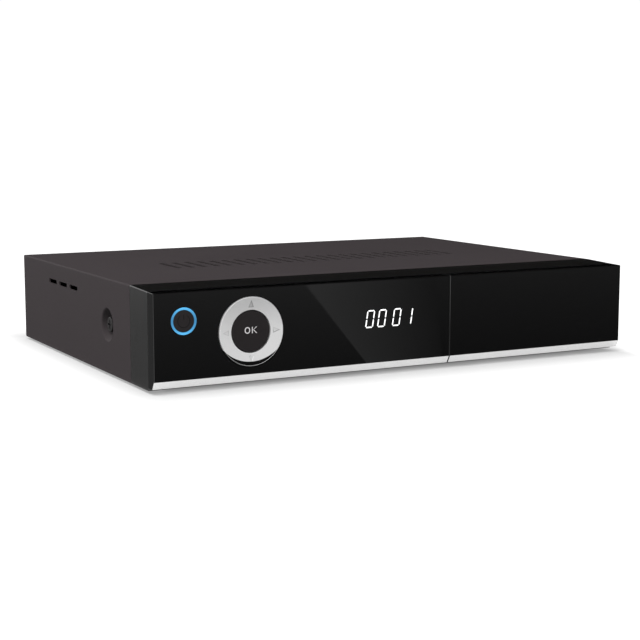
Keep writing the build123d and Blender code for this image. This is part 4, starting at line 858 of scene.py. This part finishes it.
@dataclass
class RockerKeys(Assembly):
    """The four-way ring with its arrows and a dark crescent of painted reflection, its gimbal and the confirm
    key.

    Attributes:
        letter_height: height of the confirm key's letters.
        letter_width: width of one letter.
        letter_gap: space between them.
        stroke: width of their strokes.
        power: the power that makes the O's superellipses.
        letter_steps: points round the O.
        proud: how far the letters stand out of the key.
        rise: how far the letters' middle lies above the key's.
        rim_radius: the painted reflection's outside radius.
        face_radius: radius of the arc that closes the ring's bright face.
        face_rise: how far that arc's middle lies above the ring's.
        painted_reflection_sink: how deep the painted reflection's flat face lies behind the ring's front.
        painted_reflection_depth: how thick it is.
        painted_reflection_share: how far it reaches towards the points where its two circles meet.
        painted_reflection_steps: points on each of its edges.
    """

    letter_height: float = 3.2 * MM
    letter_width: float = 2.9 * MM
    letter_gap: float = 0.95 * MM
    stroke: float = 0.47 * MM
    power: float = 0.9
    letter_steps: int = 48
    proud: float = 0.02 * MM
    rise: float = 0.6 * MM
    rim_radius: float = 16.80 * MM
    face_radius: float = 20.59 * MM
    face_rise: float = 5.79 * MM
    painted_reflection_sink: float = 0.14 * MM
    painted_reflection_depth: float = 0.34 * MM
    painted_reflection_share: float = 0.985
    painted_reflection_steps: int = 96

    finishes = {
        RING_SILVER: ("rocker_ring",),
        INNER_PLASTIC: ("rocker_gimbal", "button_guide"),
        STEEL: ("gimbal_pins", "rocker_pins"),
        KEY_BLACK: ("ok_button",),
    }

    def build(self) -> None:
        """Letters on the confirm key and the ring's black plate of painted reflection; the arrows are in the
        ring's finish.
        """
        self._letters()
        self._painted_reflection()

    def _letters(self) -> None:
        """An O as a band between two superellipses, and a K of an upright and two slanting strokes.

        A superellipse point is the half size times the signed power of (cosine, sine) of the angle. The O's
        four loops are outer front, outer back, inner back and inner front.
        """
        middle = centre_of("ok_button")
        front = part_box("ok_button")[0].y
        near, far = front - self.proud, front + self.proud
        half = np.array([self.letter_width, self.letter_height]) / 2
        ray = rays(np.linspace(0.0, math.tau, self.letter_steps, endpoint=False))
        ray = np.sign(ray) * np.abs(ray) ** self.power
        centre = np.array([middle.x - self.letter_gap / 2 - half[0], middle.z + self.rise])
        outer, inner = centre + ray * half, centre + ray * (half - self.stroke)
        loops = [(outer, near), (outer, far), (inner, far), (inner, near)]
        letter_o = ring_of_loops(np.array([np.insert(loop, 1, y, axis=1) for loop, y in loops]))
        sizes = np.array([[self.letter_width, 0.0], [self.stroke, 0.0], [0.0, half[1]], [0.0, self.stroke]])
        left = np.array([middle.x + self.letter_gap / 2, middle.z + self.rise])
        letter_k = plate_stack(left + K_STROKES @ sizes, near, far)
        self.add("confirm_letters", several([letter_o, letter_k]), PRINT_WHITE, "ok_key", "key_black")

    def _painted_reflection(self) -> None:
        """A flat black plate of painted reflection between the rim's circle and the arc closing the bright
        face.

        For an angle t the lower edge is the ring's middle plus the rim radius times (cosine, sine) of t; the
        upper edge is the point of the larger circle with the same x. It ends just short of where the two
        circles meet.
        """
        keys = centre_of("ok_button")
        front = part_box("rocker_ring")[0].y + self.painted_reflection_sink
        rim, arc, rise = self.rim_radius, self.face_radius, self.face_rise
        meet = (rim**2 - arc**2 + rise**2) / (2 * rise)
        reach = math.acos(-meet / rim) * self.painted_reflection_share
        low = rays(np.linspace(-math.pi / 2 - reach, -math.pi / 2 + reach, self.painted_reflection_steps)) * rim
        high = np.stack([low[:, 0], rise - np.sqrt(arc**2 - low[:, 0] ** 2)], axis=-1)
        outline = np.concatenate([low, high[::-1]]) + np.array([keys.x, keys.z])
        shape = plate_stack(outline[None], front, front + self.painted_reflection_depth)
        # the plate is painted reflection: the dark reflection in the ring's bottom, drawn in black
        self.add("ring_crescent", shape, CRESCENT_PAINTED_REFLECTION, "rocker_ring_body", "key_black")


# Each bar of a digit: its middle, in halves of the width and quarters of the height, each less a bar's line,
# and whether it stands upright.
BARS = {"a": (0, 2, False), "b": (1, 1, True), "c": (1, -1, True),
        "d": (0, -2, False), "e": (-1, -1, True), "f": (-1, 1, True)}
LIT_BARS = {"0": "abcdef", "1": "bc"}


@dataclass
class NumberDisplay(Assembly):
    """The lit number behind the smoked plate, with its block, board, switches and lamps.

    Attributes:
        height: height of a digit.
        width: width of a digit.
        line: width of a lit bar.
        slant: how far the digits lean to the right, as x per z.
        gap: space between the ends of two bars.
        proud: how far the bars stand out of the plate.
        lefts: left end of each digit from the display's middle, at mid height.
        number: the digits that it shows.
    """

    height: float = 9.1 * MM
    width: float = 4.6 * MM
    line: float = 0.66 * MM
    slant: float = 0.155
    gap: float = 0.36 * MM
    proud: float = 0.02 * MM
    lefts: Tuple[float, ...] = (-13.75 * MM, -6.75 * MM, 2.05 * MM, 9.05 * MM)
    number: str = "0001"

    finishes = {
        CHIP_BLACK: ("display_block", "receiver_eye", "key_switches"),
        NATURAL: ("display_spacer",),
        BOARD_GREEN: ("front_board",),
        STEEL: ("front_board_screws",),
        LAMP_WHITE: ("ring_lamps",),
    }

    def bar(self, upright: bool, length: float) -> np.ndarray:
        """A six-cornered bar round the origin, pointed at both ends.

        Args:
            upright: whether it stands upright.
            length: its length from point to point.

        Returns:
            The outline's corners as (x, z).
        """
        half, reach = self.line / 2, length / 2
        outline = np.array([[-reach, 0], [half - reach, -half], [reach - half, -half], [reach, 0],
                            [reach - half, half], [half - reach, half]])
        return outline[:, ::-1] * np.array([-1.0, 1.0]) if upright else outline

    def build(self) -> None:
        """The bars of a seven-bar number, sheared by the slant: x grows by slant times z."""
        middle = centre_of("display_block")
        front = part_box("front_fascia")[0].y
        run_x, run_z = self.width - self.line, (self.height - self.line) / 2
        bars = []
        for left, digit in zip(self.lefts, self.number):
            for name in LIT_BARS[digit]:
                across, up, upright = BARS[name]
                outline = self.bar(upright, (run_z if upright else run_x) - self.gap)
                bars.append(outline + np.array([left + self.width / 2 + run_x / 2 * across, run_z / 2 * up]))
        outlines = np.array(bars)
        outlines[..., 0] += outlines[..., 1] * self.slant
        outlines += np.array([middle.x, middle.z])
        shape = plate_stack(outlines, front - self.proud, front + self.proud)
        self.add("display_number", shape, LIT_WHITE, "casing", "lamp_white")


class InnerWorks(Assembly):
    """Main board, its parts, the card slots and the cable between the boards, all CAD."""

    finishes = {
        BOARD_GREEN: ("main_board",),
        STEEL: ("board_standoffs", "main_board_screws"),
        CHIP_BLACK: ("processor", "memory_chips", "power_coils"),
        SINK_BLACK: ("heat_sink",),
        INNER_PLASTIC: ("capacitors", "card_reader"),
        NATURAL: ("ribbon_headers", "card_header"),
        RIBBON_GREY: ("ribbon_cable",),
        STEEL_SHEET: ("tuner_can", "tuner_lid", "card_cage"),
    }


# Turned outlines in millimetres: rows of (y, radius). The y counts from the shank's front, from the thread's
# start, and in all the others from the socket's mouth.
SHANK_FRONT = [[0.0, 0.0], [0.0, 4.85], [0.1, 4.95]]
SHANK_STEP = [[-0.05, 4.95], [0.0, 4.90]]
BARREL_TIP = [[-0.40, 4.61], [0.0, 4.16], [0.0, 3.35], [-0.15, 3.2], [-8.2, 3.2], [-8.2, 0.0]]
INSERT = [[-8.2, 0.0], [-8.2, 2.9], [-1.4, 2.9], [-1.2, 2.7], [-1.2, 1.21], [-1.8, 0.55], [-4.2, 0.55],
          [-4.2, 0.0]]
SOUND_LINING = [[-6.0, 3.24], [-6.0, 2.95], [-0.3, 2.95], [0.0, 3.05], [0.0, 3.24]]
INLET_LINING = [[-8.0, 3.15], [-8.0, 2.9], [-0.8, 2.9], [-0.6, 3.15]]
# The bend of a network contact in millimetres: rows of (y from the mouth, drop below the ceiling).
NETWORK_BEND = [[-9.6, 3.6], [-7.6, 3.2], [-2.0, 0.35]]


def rows_from(end: float, rows: Rows) -> np.ndarray:
    """Rows in millimetres as rows in metres, the first column counted from an end."""
    return np.array(rows) * MM + np.array([end, 0.0])


@dataclass(frozen=True)
class ContactRow:
    """A row of gold strips in a port.

    Attributes:
        count: number of strips.
        pitch: distance from one to the next.
        start: how deep in the port they start.
        end: how deep in it they end.
        steps: points on each strip.
        width: width of a strip.
        thickness: its thickness.
    """

    count: int
    pitch: float
    start: float
    end: float
    steps: int
    width: float
    thickness: float

    def depths(self, mouth: float) -> np.ndarray:
        """The Y of a strip's points, for a mouth at a given Y."""
        return np.linspace(mouth - self.start, mouth - self.end, self.steps)

    def shape(self, box: Box, levels: Sequence[Union[float, np.ndarray]]) -> Shape:
        """Strips side by side round the middle of a port.

        Args:
            box: the port's box.
            levels: for each row of strips its Z, or the Z of every point along them.

        Returns:
            The points and faces.
        """
        low, high = box
        xs = (low.x + high.x) / 2 + (np.arange(self.count) - (self.count - 1) / 2) * self.pitch
        depths = self.depths(high.y)
        rows = [np.stack(np.broadcast_arrays(xs[:, None], depths, level), axis=-1) for level in levels]
        return bent_strips(np.concatenate(rows), self.width, self.thickness)


@dataclass
class RearSockets(Assembly):
    """Sockets in the rear panel, with threads on the aerial sockets and contacts in the others.

    Attributes:
        thread_pitch: pitch of the aerial sockets' thread, 32 to the inch.
        thread_depth: its depth.
        thread_rows: points along it.
        thread_fade: points over which it runs out at each end.
        thread_start: how far behind the nuts it starts.
        thread_end: how far before the barrel's end it stops.
        shank_radius: radius of the plain shank before it.
        barrel_radius: its own outside radius.
        barrel_steps: points round the barrel.
        steps: points round an insert or a lining.
        network: the network port's contacts.
        serial: the serial ports' contacts.
        plug_height: height of the network port's opening.
        serial_levels: heights of the serial contacts above the socket's foot.
        sound_rise: height of the sound socket's axis above its foot.
        inlet_rise: height of the power inlet's axis above its foot.
    """

    thread_pitch: float = 0.794 * MM
    thread_depth: float = 0.42 * MM
    thread_rows: int = 150
    thread_fade: float = 8.0
    thread_start: float = 0.3 * MM
    thread_end: float = 0.45 * MM
    shank_radius: float = 4.95 * MM
    barrel_radius: float = 4.76 * MM
    barrel_steps: int = 64
    steps: int = 48
    network: ContactRow = ContactRow(8, 1.02 * MM, 9.6 * MM, 2.0 * MM, 9, 0.45 * MM, 0.3 * MM)
    serial: ContactRow = ContactRow(4, 2.3 * MM, 9.6 * MM, 2.6 * MM, 6, 1.1 * MM, 0.12 * MM)
    plug_height: float = 8.2 * MM
    serial_levels: Pair = (4.52 * MM, 12.32 * MM)
    sound_rise: float = 5.0 * MM
    inlet_rise: float = 5.5 * MM

    finishes = {
        NICKEL: ("aerial_sockets", "aerial_nuts", "hdmi_socket", "usb_socket", "network_socket"),
        SOCKET_BLACK: ("optical_socket", "power_inlet"),
        PHONO_ORANGE: ("phono_socket",),
    }

    def build(self) -> None:
        """Threads and inserts for the aerial sockets, contacts for the ports, linings for the round ones."""
        self._aerials()
        self._contacts()
        self._linings()

    def aerial_middles(self) -> List[Pair]:
        """The aerial sockets' axes, one shank's radius from either end of the pair's box.

        Returns:
            The (x, z) of each.
        """
        low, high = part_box("aerial_sockets")
        z = (low.z + high.z) / 2
        return [(low.x + self.shank_radius, z), (high.x - self.shank_radius, z)]

    def _aerials(self) -> None:
        """A threaded barrel with a deep mouth, and the pale insert with its contact hole.

        The thread's depth grows from nothing to its full value over the first few points from either end.
        """
        low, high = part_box("aerial_sockets")
        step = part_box("aerial_nuts")[1].y + self.thread_start
        run = np.linspace(step, high.y - self.thread_end, self.thread_rows)
        thread = np.stack([run, np.full(self.thread_rows, self.barrel_radius)], axis=-1)
        head = np.concatenate([rows_from(low.y, SHANK_FRONT), rows_from(step, SHANK_STEP)])
        profile = np.concatenate([head, thread, rows_from(high.y, BARREL_TIP)])
        order = np.arange(self.thread_rows)
        fade = np.clip(np.minimum(order, order[::-1]) / self.thread_fade, 0.0, 1.0)
        ripple = np.tile([0.0, self.thread_pitch], (len(profile), 1))
        ripple[len(head):len(head) + self.thread_rows, 0] = self.thread_depth * fade
        barrels = several([turned(profile, ripple, at, self.barrel_steps) for at in self.aerial_middles()])
        piece = self.add("aerial_threads", barrels, NICKEL, "casing", "nickel", True)
        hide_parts("aerial_sockets")
        insert = rows_from(high.y, INSERT)
        plain = np.tile([0.0, 1.0], (len(insert), 1))
        inserts = several([turned(insert, plain, at, self.steps) for at in self.aerial_middles()])
        self.add("aerial_inserts", inserts, NATURAL, "casing", "natural_plastic")

    def _contacts(self) -> None:
        """Gold strips in the network and serial ports; a network strip falls along a bent line."""
        low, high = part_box("network_socket")
        ceiling = low.z + (high.z - low.z + self.plug_height) / 2
        drop = np.interp(self.network.depths(high.y), *rows_from(high.y, NETWORK_BEND).T)
        wires = self.network.shape((low, high), [ceiling - drop])
        self.add("network_contacts", wires, GOLD, "casing", "nickel")
        low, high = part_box("usb_socket")
        levels = [low.z + level for level in self.serial_levels]
        self.add("serial_contacts", self.serial.shape((low, high), levels), GOLD, "casing", "nickel")

    def _linings(self) -> None:
        """Metal linings just inside the round sound socket and the power inlet."""
        linings = (("sound_lining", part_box("phono_socket"), self.sound_rise, SOUND_LINING),
                   ("inlet_lining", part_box("power_inlet"), self.inlet_rise, INLET_LINING))
        for name, (low, high), rise, section in linings:
            axis = ((low.x + high.x) / 2, low.z + rise)
            shape = sleeve(rows_from(high.y, section), axis, self.steps)
            self.add(name, shape, NICKEL, "casing", "nickel")


# --- studio ----------------------------------------------------------------------------------

LIFT = 0.4 * MM  # height of the lowest cards above the floor

# Even cards: their brightness and their corners.
PLAIN_CARDS: Dict[str, Tuple[float, List[Place]]] = {
    "left": (0.14, [(-0.95, -0.10, LIFT), (-0.142, -0.10, LIFT), (-0.142, 0.95, LIFT), (-0.95, 0.95, LIFT)]),
    "back": (0.0, [(-0.05, 0.95, 0), (2.4, 0.95, 0), (2.4, 0.95, 2.2), (-0.05, 0.95, 2.2)]),
    "ahead": (0.12, [(-2.0, -1.6, 0), (2.4, -1.6, 0), (2.4, -1.6, 1.6), (-2.0, -1.6, 1.6)]),
    "top": (0.03, [(-2.0, -2.5, 1.3), (3.0, -2.5, 1.3), (3.0, 1.5, 1.3), (-2.0, 1.5, 1.3)]),
}
FRONT_CORNERS = [(-0.142, -0.125, LIFT), (0.90, -0.125, LIFT), (0.90, -0.80, LIFT), (0.118, -0.80, LIFT)]
SLANT_CORNERS = [(-0.0117, -0.125, LIFT * 2), (0.0335, -0.125, LIFT * 2), (0.4600, -0.80, LIFT * 2),
                 (0.2683, -0.80, LIFT * 2)]


@dataclass
class Studio:
    """Camera, pale floor, soft light and the cards that gloss black mirrors.

    Attributes:
        camera_place: where the camera stands.
        camera_turn: how far it looks to the right of straight back, in degrees.
        camera_dip: how far it looks down, in degrees.
        camera_lens: its focal length in millimetres.
        ambient: level of the even light from all round.
        backdrop: level of the background where it is looked at.
        key_power: power of the large soft lamp.
        key_size: its length and width.
        key_place: where it hangs.
        key_aim: the point that it is turned to.
        floor_reach: how far the floor goes each way.
        floor_tints: the floor's own colour and that of its flecks.
        floor_grain: the flecks' size.
        floor_glow: what the floor adds close to the object where the camera or a mirror looks at it, how far
            under the object that begins, and the distance over which it sets in.
        floor_rise: how fast it gets whiter per metre, away from the object or at its left, and at its right.
        floor_white: the most that it adds.
        edge_run: how far in front the slanting edge starts, and how far on it goes.
        edge_lean: how far left of the middle it starts, and how far right it goes over the run.
        slant_width: the pale card's width at the start, and its growth over the run.
        slant_light: its least light, what its left edge adds at the start, and the growth of that.
        front_light: the front card's least light, where in front its rise starts, and the rise per metre.
        front_loss: the share that is lost beyond the slanting edge, and the distance over which it sets in.
    """

    camera_place: Place = (-0.38674, -0.73386, 0.13105)
    camera_turn: float = 28.185
    camera_dip: float = 8.026
    camera_lens: float = 80.84
    ambient: float = 0.66
    backdrop: float = 1.03
    key_power: float = 24.0
    key_size: Pair = (1.6, 1.2)
    key_place: Place = (-0.80, -0.42, 1.55)
    key_aim: Place = (0.0, 0.0, 0.02)
    floor_reach: float = 9.0
    floor_tints: Pair = (0.50, 0.505)
    floor_grain: float = 0.02
    floor_glow: Place = (0.30, 0.028, 0.020)
    floor_rise: Pair = (10.0, 30.0)
    floor_white: float = 0.72
    edge_run: Pair = (0.1469, 0.3273)
    edge_lean: Pair = (0.0024, 0.1344)
    slant_width: Pair = (0.0549, 0.0813)
    slant_light: Place = (0.085, 0.27, 0.17)
    front_light: Place = (0.095, 0.137, 0.40)
    front_loss: Pair = (0.29, 0.05)

    def build(self) -> None:
        """Set up everything that isn't the object."""
        self._camera()
        self._world()
        self._key()
        self._floor()
        self._cards()
        bpy.context.scene.view_settings.view_transform = "Standard"

    def _camera(self) -> None:
        """The camera, level from side to side."""
        data = bpy.data.cameras.new("view")
        data.lens = self.camera_lens
        data.sensor_width = 36.0
        data.clip_start = 0.01
        data.dof.use_dof = False
        camera = bpy.data.objects.new("view", data)
        camera.location = self.camera_place
        camera.rotation_euler = (math.radians(90.0 - self.camera_dip), 0.0, -math.radians(self.camera_turn))
        bpy.context.scene.collection.objects.link(camera)
        bpy.context.scene.camera = camera

    @staticmethod
    def seen(sheet: ShaderSheet) -> Wire:
        """Tell the rays that look from those that only light.

        Args:
            sheet: the nodes of a material or of the world.

        Returns:
            1 for camera, glossy and transmission rays, else 0.
        """
        kinds = ("Is Camera Ray", "Is Glossy Ray", "Is Transmission Ray")
        camera, glossy, through = [sheet.add("ShaderNodeLightPath", output=kind) for kind in kinds]
        return camera.larger(glossy).larger(through)

    def _world(self) -> None:
        """Even light, with a white background where it is looked at."""
        world = bpy.data.worlds.new("studio_air")
        bpy.context.scene.world = world
        sheet = ShaderSheet(world)
        strength = self.ambient + self.seen(sheet) * (self.backdrop - self.ambient)
        air = sheet.add("ShaderNodeBackground", inputs={"Color": (1.0, 1.0, 1.0, 1.0), "Strength": strength})
        sheet.end(air, "ShaderNodeOutputWorld")

    def _key(self) -> None:
        """One large soft lamp, high on the left and a little in front."""
        data = bpy.data.lights.new("soft_key", "AREA")
        data.shape = "RECTANGLE"
        data.size, data.size_y = self.key_size
        data.energy = self.key_power
        lamp = bpy.data.objects.new("soft_key", data)
        lamp.location = self.key_place
        aim = Vector(self.key_aim) - Vector(lamp.location)
        lamp.rotation_euler = aim.to_track_quat("-Z", "Y").to_euler()
        lamp.visible_glossy = False
        bpy.context.scene.collection.objects.link(lamp)

    def _floor(self) -> None:
        """A wide pale floor that keeps the object's shadow close by and is white farther off.

        Where it is looked at it gives off light: one level close to the object, and more with the distance
        from the object's box and past its left and right sides, up to the most.
        """
        material = bpy.data.materials.new("studio_floor")
        sheet = ShaderSheet(material)
        grain = sheet.noise(self.floor_grain, detail=2.0)
        seen = self.seen(sheet)
        tint = sheet.mix(grain, *map(grey, self.floor_tints))
        matt = sheet.add("ShaderNodeBsdfDiffuse", inputs={"Color": tint})
        x, y, _ = sheet.axes()
        low, high = cad_box
        away = (x.size() - high.x).larger(y.size() - high.y)
        level, inset, run = self.floor_glow
        rise, rise_right = self.floor_rise
        close = ((away + inset) / run).clipped() * level
        sides = ((x - high.x) * rise_right).clipped() + ((low.x - x) * rise).clipped()
        strength = (close + (away * rise).clipped() + sides).smaller(self.floor_white)
        glow = sheet.add("ShaderNodeEmission", inputs={"Strength": seen * strength})
        sheet.end(sheet.add("ShaderNodeAddShader", inputs={0: matt, 1: glow}))
        signs = ((-1, -1, 0), (1, -1, 0), (1, 1, 0), (-1, 1, 0))
        corners = [tuple(self.floor_reach * sign for sign in corner) for corner in signs]
        self._card("studio_floor", corners, material, False)

    def _cards(self) -> None:
        """The cards that only mirrors see; the pale one with a slanting edge lies over the front one."""
        self._card("front_card", FRONT_CORNERS, self._light("front_light", self._front_strength))
        for name, (level, corners) in PLAIN_CARDS.items():
            self._card(name + "_card", corners, self._light(name + "_light", lambda sheet: level))
        self._card("slant_card", SLANT_CORNERS, self._light("slant_light", self._slant_strength))

    def _slant(self, sheet: ShaderSheet) -> Tuple[Wire, Wire, Wire]:
        """Where a point of the two front cards lies to the slanting edge.

        Args:
            sheet: the material's nodes.

        Returns:
            Its distance in front, how far along the edge's run that is, and its x to the right of the edge.
        """
        x, y, _ = sheet.axes()
        (start, run), (left, lean) = self.edge_run, self.edge_lean
        ahead = y * -1.0
        far = (ahead - start) / run
        return ahead, far, x - (far * lean - left)

    def _front_strength(self, sheet: ShaderSheet) -> Wire:
        """The front card is brighter farther in front and darker to the right of the slanting edge.

        Args:
            sheet: the material's nodes.

        Returns:
            The card's strength.
        """
        (least, start, rise), (loss, blend) = self.front_light, self.front_loss
        ahead, _, past = self._slant(sheet)
        return (least + (ahead - start).larger(0.0) * rise) * (1.0 - (past / blend).clipped() * loss)

    def _slant_strength(self, sheet: ShaderSheet) -> Wire:
        """The pale card fades from the slanting left edge to the right edge.

        Args:
            sheet: the material's nodes.

        Returns:
            The card's strength.
        """
        (width, wider), (least, light, lighter) = self.slant_width, self.slant_light
        _, far, past = self._slant(sheet)
        share = (past / (far * wider + width)).clipped()
        return least + (1.0 - share) * (light + far * lighter)

    @staticmethod
    def _light(name: str, strength: Callable[[ShaderSheet], Number]) -> bpy.types.Material:
        """A card's brightness as a material.

        Args:
            name: the material's name.
            strength: works out the card's strength on the material's nodes.

        Returns:
            The material.
        """
        material = bpy.data.materials.new(name)
        sheet = ShaderSheet(material)
        sheet.end(sheet.add("ShaderNodeEmission", inputs={"Strength": strength(sheet)}))
        return material

    @staticmethod
    def _card(name: str, corners: Sequence[Place], material: bpy.types.Material,
              mirrored_only: bool = True) -> None:
        """A flat four-cornered card of the studio.

        Args:
            name: its name.
            corners: its corners in order.
            material: its material.
            mirrored_only: whether only mirrors see it.
        """
        mesh = bpy.data.meshes.new(name)
        mesh.from_pydata(list(corners), [], [[0, 1, 2, 3]])
        mesh.materials.append(material)
        card = bpy.data.objects.new(name, mesh)
        bpy.context.scene.collection.objects.link(card)
        if mirrored_only:
            for ray in ("camera", "diffuse", "transmission", "shadow"):
                setattr(card, "visible_" + ray, False)


def main() -> None:
    """Build the sub-assemblies in order, then the studio."""
    logging.basicConfig(level=logging.INFO, format="%(name)s: %(message)s")
    for kind in (Case, FrontPlate, StandbyKey, RockerKeys, NumberDisplay, InnerWorks, RearSockets):
        assembly = kind()
        assembly.build()
        assembly.dress()
    Studio().build()


if __name__ == "__main__":
    main()
